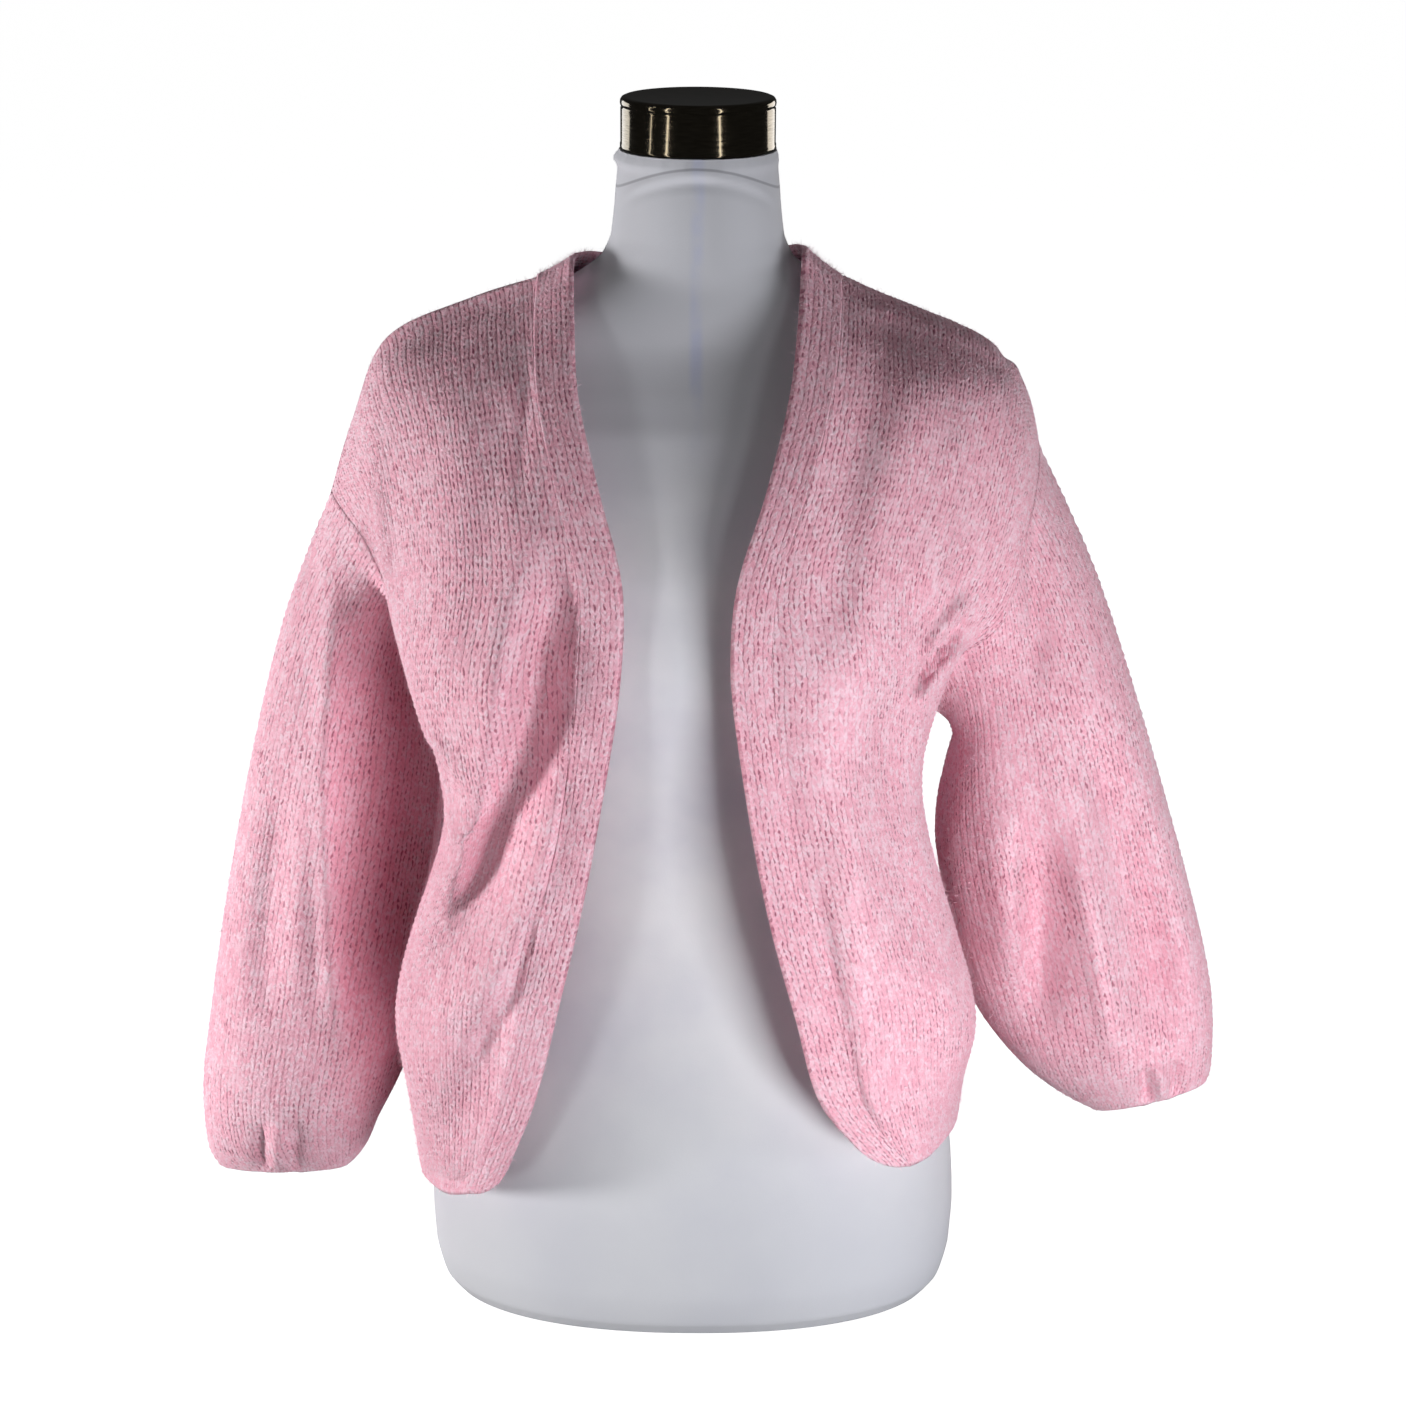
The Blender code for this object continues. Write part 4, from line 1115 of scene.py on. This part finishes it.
def nap_tree(fibre):
    """A Geometry Nodes tree that grows loose fibres from the outer side of the knitting."""
    tree = bpy.data.node_groups.new("nap", "GeometryNodeTree")
    tree.interface.new_socket("Geometry", in_out="INPUT", socket_type="NodeSocketGeometry")
    tree.interface.new_socket("Fibres per square metre", in_out="INPUT", socket_type="NodeSocketFloat")
    tree.interface.new_socket("Geometry", in_out="OUTPUT", socket_type="NodeSocketGeometry")
    given = tree.nodes.new("NodeGroupInput").outputs
    outer = node(tree, "GeometryNodeInputNamedAttribute", data_type="FLOAT", in_Name="outer").outputs[0]
    chosen = node(tree, "FunctionNodeCompare", operation="GREATER_THAN", in_0=outer, in_1=0.5).outputs[0]
    points = node(
        tree, "GeometryNodeDistributePointsOnFaces", in_Mesh=given[0], in_Density=given[1], in_Seed=11
    )
    tree.links.new(chosen, points.inputs["Selection"])
    astray = node(
        tree,
        "FunctionNodeRandomValue",
        data_type="FLOAT_VECTOR",
        in_0=(-1, -1, -1),
        in_1=(1, 1, 1),
        in_Seed=5,
    )
    way = node(
        tree, "ShaderNodeVectorMath", operation="ADD", in_0=points.outputs["Normal"], in_1=astray.outputs[0]
    )
    turned = node(tree, "FunctionNodeAlignRotationToVector", axis="Z", in_Vector=way.outputs[0])
    length = node(tree, "FunctionNodeRandomValue", data_type="FLOAT", in_2=0.4, in_3=1.3, in_Seed=8)
    thread = node(tree, "GeometryNodeMeshCone", fill_type="NONE", in_Vertices=3, in_Depth=FIBRE_LENGTH)
    thread.inputs["Radius Top"].default_value = 0.0
    thread.inputs["Radius Bottom"].default_value = FIBRE_RADIUS
    grown = node(
        tree,
        "GeometryNodeInstanceOnPoints",
        in_Points=points.outputs["Points"],
        in_Instance=thread.outputs["Mesh"],
    )
    tree.links.new(turned.outputs[0], grown.inputs["Rotation"])
    tree.links.new(length.outputs[1], grown.inputs["Scale"])
    real = node(tree, "GeometryNodeRealizeInstances", in_Geometry=grown.outputs[0])
    dyed = node(tree, "GeometryNodeSetMaterial", in_Geometry=real.outputs[0], in_Material=fibre)
    tree.links.new(dyed.outputs[0], tree.nodes.new("NodeGroupOutput").inputs[0])
    return tree


def finished(piece, node_name, density):
    """A knitted piece takes its yarn, its nap and its place on the body, and its solid is hidden."""
    piece.data.materials.append(yarn)
    brushed = piece.modifiers.new("nap", "NODES")
    brushed.node_group = nap
    brushed[nap.interface.items_tree["Fibres per square metre"].identifier] = density
    evaluated = piece.evaluated_get(bpy.context.evaluated_depsgraph_get())
    fibres = bpy.data.objects.new(node_name + "_nap", bpy.data.meshes.new_from_object(evaluated))
    bpy.context.collection.objects.link(fibres)
    piece.modifiers.remove(brushed)
    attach(fibres, "root")
    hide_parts(node_name)
    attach(piece, "root")


nap = nap_tree(new_material("loose_fibre", Base_Color=PINK_LIGHT, Roughness=0.8)[0])
yarn = knit_yarn("pink_knit_yarn")

# The two fronts: knitted from the hem up, with their wales parallel to the middle of each panel. The right one hangs
# in a long diagonal fold from the bust to the side of the hem; the left one is drawn up in a few short folds at the
# armpit. Each fold is its height and half width in mm, less than nothing for a trough, and its line of x and z in
# mm.
RIGHT_FOLDS = (
    (-25, 16, ((-86, 560), (-88, 500), (-92, 450), (-100, 405), (-112, 364), (-126, 322), (-146, 282), (-166, 250))),
    (-19, 18, ((-102, 392), (-116, 354), (-132, 314), (-150, 276), (-168, 240), (-182, 196))),
    (7, 10, ((-72, 480), (-77, 430), (-84, 390), (-93, 350), (-104, 305), (-120, 262), (-138, 222), (-154, 180))),
    (12, 13, ((-112, 530), (-118, 463), (-127, 415), (-137, 373), (-150, 336), (-168, 296), (-186, 250))),
    (-9, 16, ((-130, 640), (-117, 599), (-122, 567), (-125, 533), (-130, 498), (-138, 450))),
    (-15, 8, ((-172, 404), (-156, 388), (-138, 364))),
    (10, 7, ((-170, 426), (-152, 408), (-134, 392))),
    (9, 7, ((-170, 384), (-158, 366), (-142, 340))),
    (-9, 11, ((-92, 345), (-99, 304), (-109, 271), (-125, 240), (-140, 205))),
    (7, 7, ((-116, 282), (-150, 246), (-172, 210))),
    (-12, 14, ((-122, 255), (-139, 191), (-157, 130))),
    (5, 9, ((-98, 250), (-108, 180), (-120, 110))),
    (-4, 5, ((-170, 104), (-150, 114), (-130, 122))),
    (-3, 5, ((-101, 650), (-103, 600), (-105, 550))),
)
LEFT_FOLDS = (
    (-11, 16, ((116, 670), (104, 611), (91, 573), (84, 520), (80, 460))),
    (8, 11, ((160, 620), (153, 571), (145, 524), (138, 480))),
    (12, 6, ((134, 456), (152, 481), (168, 500))),
    (-12, 6, ((126, 434), (150, 462), (172, 486))),
    (8, 6, ((132, 424), (150, 448), (168, 466))),
    (-14, 15, ((126, 490), (118, 410), (122, 350), (136, 300), (160, 235))),
    (7, 10, ((88, 420), (94, 330), (103, 260), (112, 190), (120, 120))),
    (-6, 9, ((70, 350), (80, 250), (87, 170), (92, 100))),
    (10, 9, ((138, 370), (152, 290), (164, 200))),
)
front_right = knitted("front_right", free=("foot",), front=RIGHT_FOLDS)
finished(front_right, "front_right", 90000.0)
front_left = knitted("front_left", free=("foot",), front=LEFT_FOLDS)
finished(front_left, "front_left", 90000.0)

# The back: one piece from the hem to the shoulders, with its wales along the spine and the neck scooped out.
# It falls from the shoulder blades in soft flutes, with a shallow fold drawn across between the armholes.
BACK_FOLDS = (
    (-10, 14, ((-60, 540), (-66, 430), (-72, 330), (-78, 220), (-84, 100))),
    (7, 12, ((-24, 330), (-27, 230), (-28, 100))),
    (-12, 13, ((40, 550), (48, 450), (58, 340), (66, 230), (72, 110))),
    (5, 14, ((10, 470), (14, 360), (16, 250))),
    (8, 12, ((108, 430), (120, 330), (129, 230), (134, 130))),
    (8, 12, ((-113, 440), (-123, 340), (-131, 230), (-134, 150))),
    (-6, 12, ((-150, 360), (-156, 260), (-158, 170))),
    (-5, 12, ((-105, 590), (-40, 574), (30, 582), (100, 600))),
    (-7, 9, ((140, 440), (126, 470), (104, 500))),
    (7, 8, ((-146, 430), (-128, 462), (-104, 486))),
)
back = knitted("back", free=("foot",), rear=BACK_FOLDS)
finished(back, "back", 45000.0)

# The balloon sleeves: wide tubes seamed under the arm, gathered to a narrow cuff in their last rounds. The
# right one folds back sharply along its inner side; the left one hangs in three long flutes.
RIGHT_SLEEVE_FOLDS = (
    (12, 9, ((-226, 520), (-229, 448), (-232, 384), (-233, 317), (-232, 249), (-228, 160))),
    (-52, 30, ((-172, 540), (-179, 416), (-182, 350), (-186, 281), (-194, 160))),
    (8, 11, ((-238, 430), (-247, 349), (-252, 282), (-257, 200))),
    (-8, 11, ((-256, 370), (-271, 299), (-276, 246), (-280, 185))),
    (5, 5, ((-217, 538), (-207, 518), (-198, 500))),
    (-7, 7, ((-226, 560), (-238, 520), (-248, 470))),
    (-5, 4, ((-258, 130), (-262, 100), (-264, 76))),
    (-5, 4, ((-282, 128), (-284, 100), (-286, 78))),
    (5, 5, ((-270, 132), (-273, 104), (-275, 76))),
)
RIGHT_SLEEVE_BEHIND = (
    (-12, 12, ((-214, 480), (-231, 380), (-245, 290), (-252, 190))),
    (7, 11, ((-252, 430), (-267, 330), (-276, 230))),
    (7, 10, ((-204, 400), (-210, 300), (-214, 200))),
    (-5, 4, ((-262, 130), (-266, 100), (-268, 76))),
)
LEFT_SLEEVE_FOLDS = (
    (-17, 13, ((214, 350), (222, 290), (226, 231), (226, 175))),
    (10, 13, ((192, 370), (199, 284), (206, 215))),
    (-21, 14, ((240, 430), (256, 370), (270, 333), (286, 264), (302, 201), (308, 155))),
    (11, 10, ((236, 350), (250, 285), (264, 220), (276, 160))),
    (10, 13, ((280, 380), (302, 310), (318, 245), (326, 190))),
    (-11, 8, ((192, 560), (206, 520), (214, 470), (216, 420))),
    (-7, 4, ((292, 170), (296, 150), (298, 134))),
    (7, 4, ((302, 172), (306, 150), (308, 134))),
    (-7, 4, ((312, 172), (316, 152), (318, 136))),
)
LEFT_SLEEVE_BEHIND = (
    (-10, 11, ((204, 480), (222, 380), (240, 290), (258, 200))),
    (7, 11, ((238, 430), (262, 330), (284, 230))),
    (-7, 10, ((262, 450), (288, 350), (306, 260))),
    (-5, 4, ((300, 170), (304, 150), (306, 134))),
)
sleeve_right = knitted(
    "sleeve_right", closed=True, free=("head",), front=RIGHT_SLEEVE_FOLDS, rear=RIGHT_SLEEVE_BEHIND
)
finished(sleeve_right, "sleeve_right", 60000.0)
sleeve_left = knitted(
    "sleeve_left", closed=True, free=("head",), front=LEFT_SLEEVE_FOLDS, rear=LEFT_SLEEVE_BEHIND
)
finished(sleeve_left, "sleeve_left", 60000.0)

# The band: one strip of four wales, picked up along both front edges and round the back of the neck.
band = knitted("band", anchor=0, squeeze=0.0, free=("last", "foot", "head"), wales=4)
finished(band, "band", 240000.0)
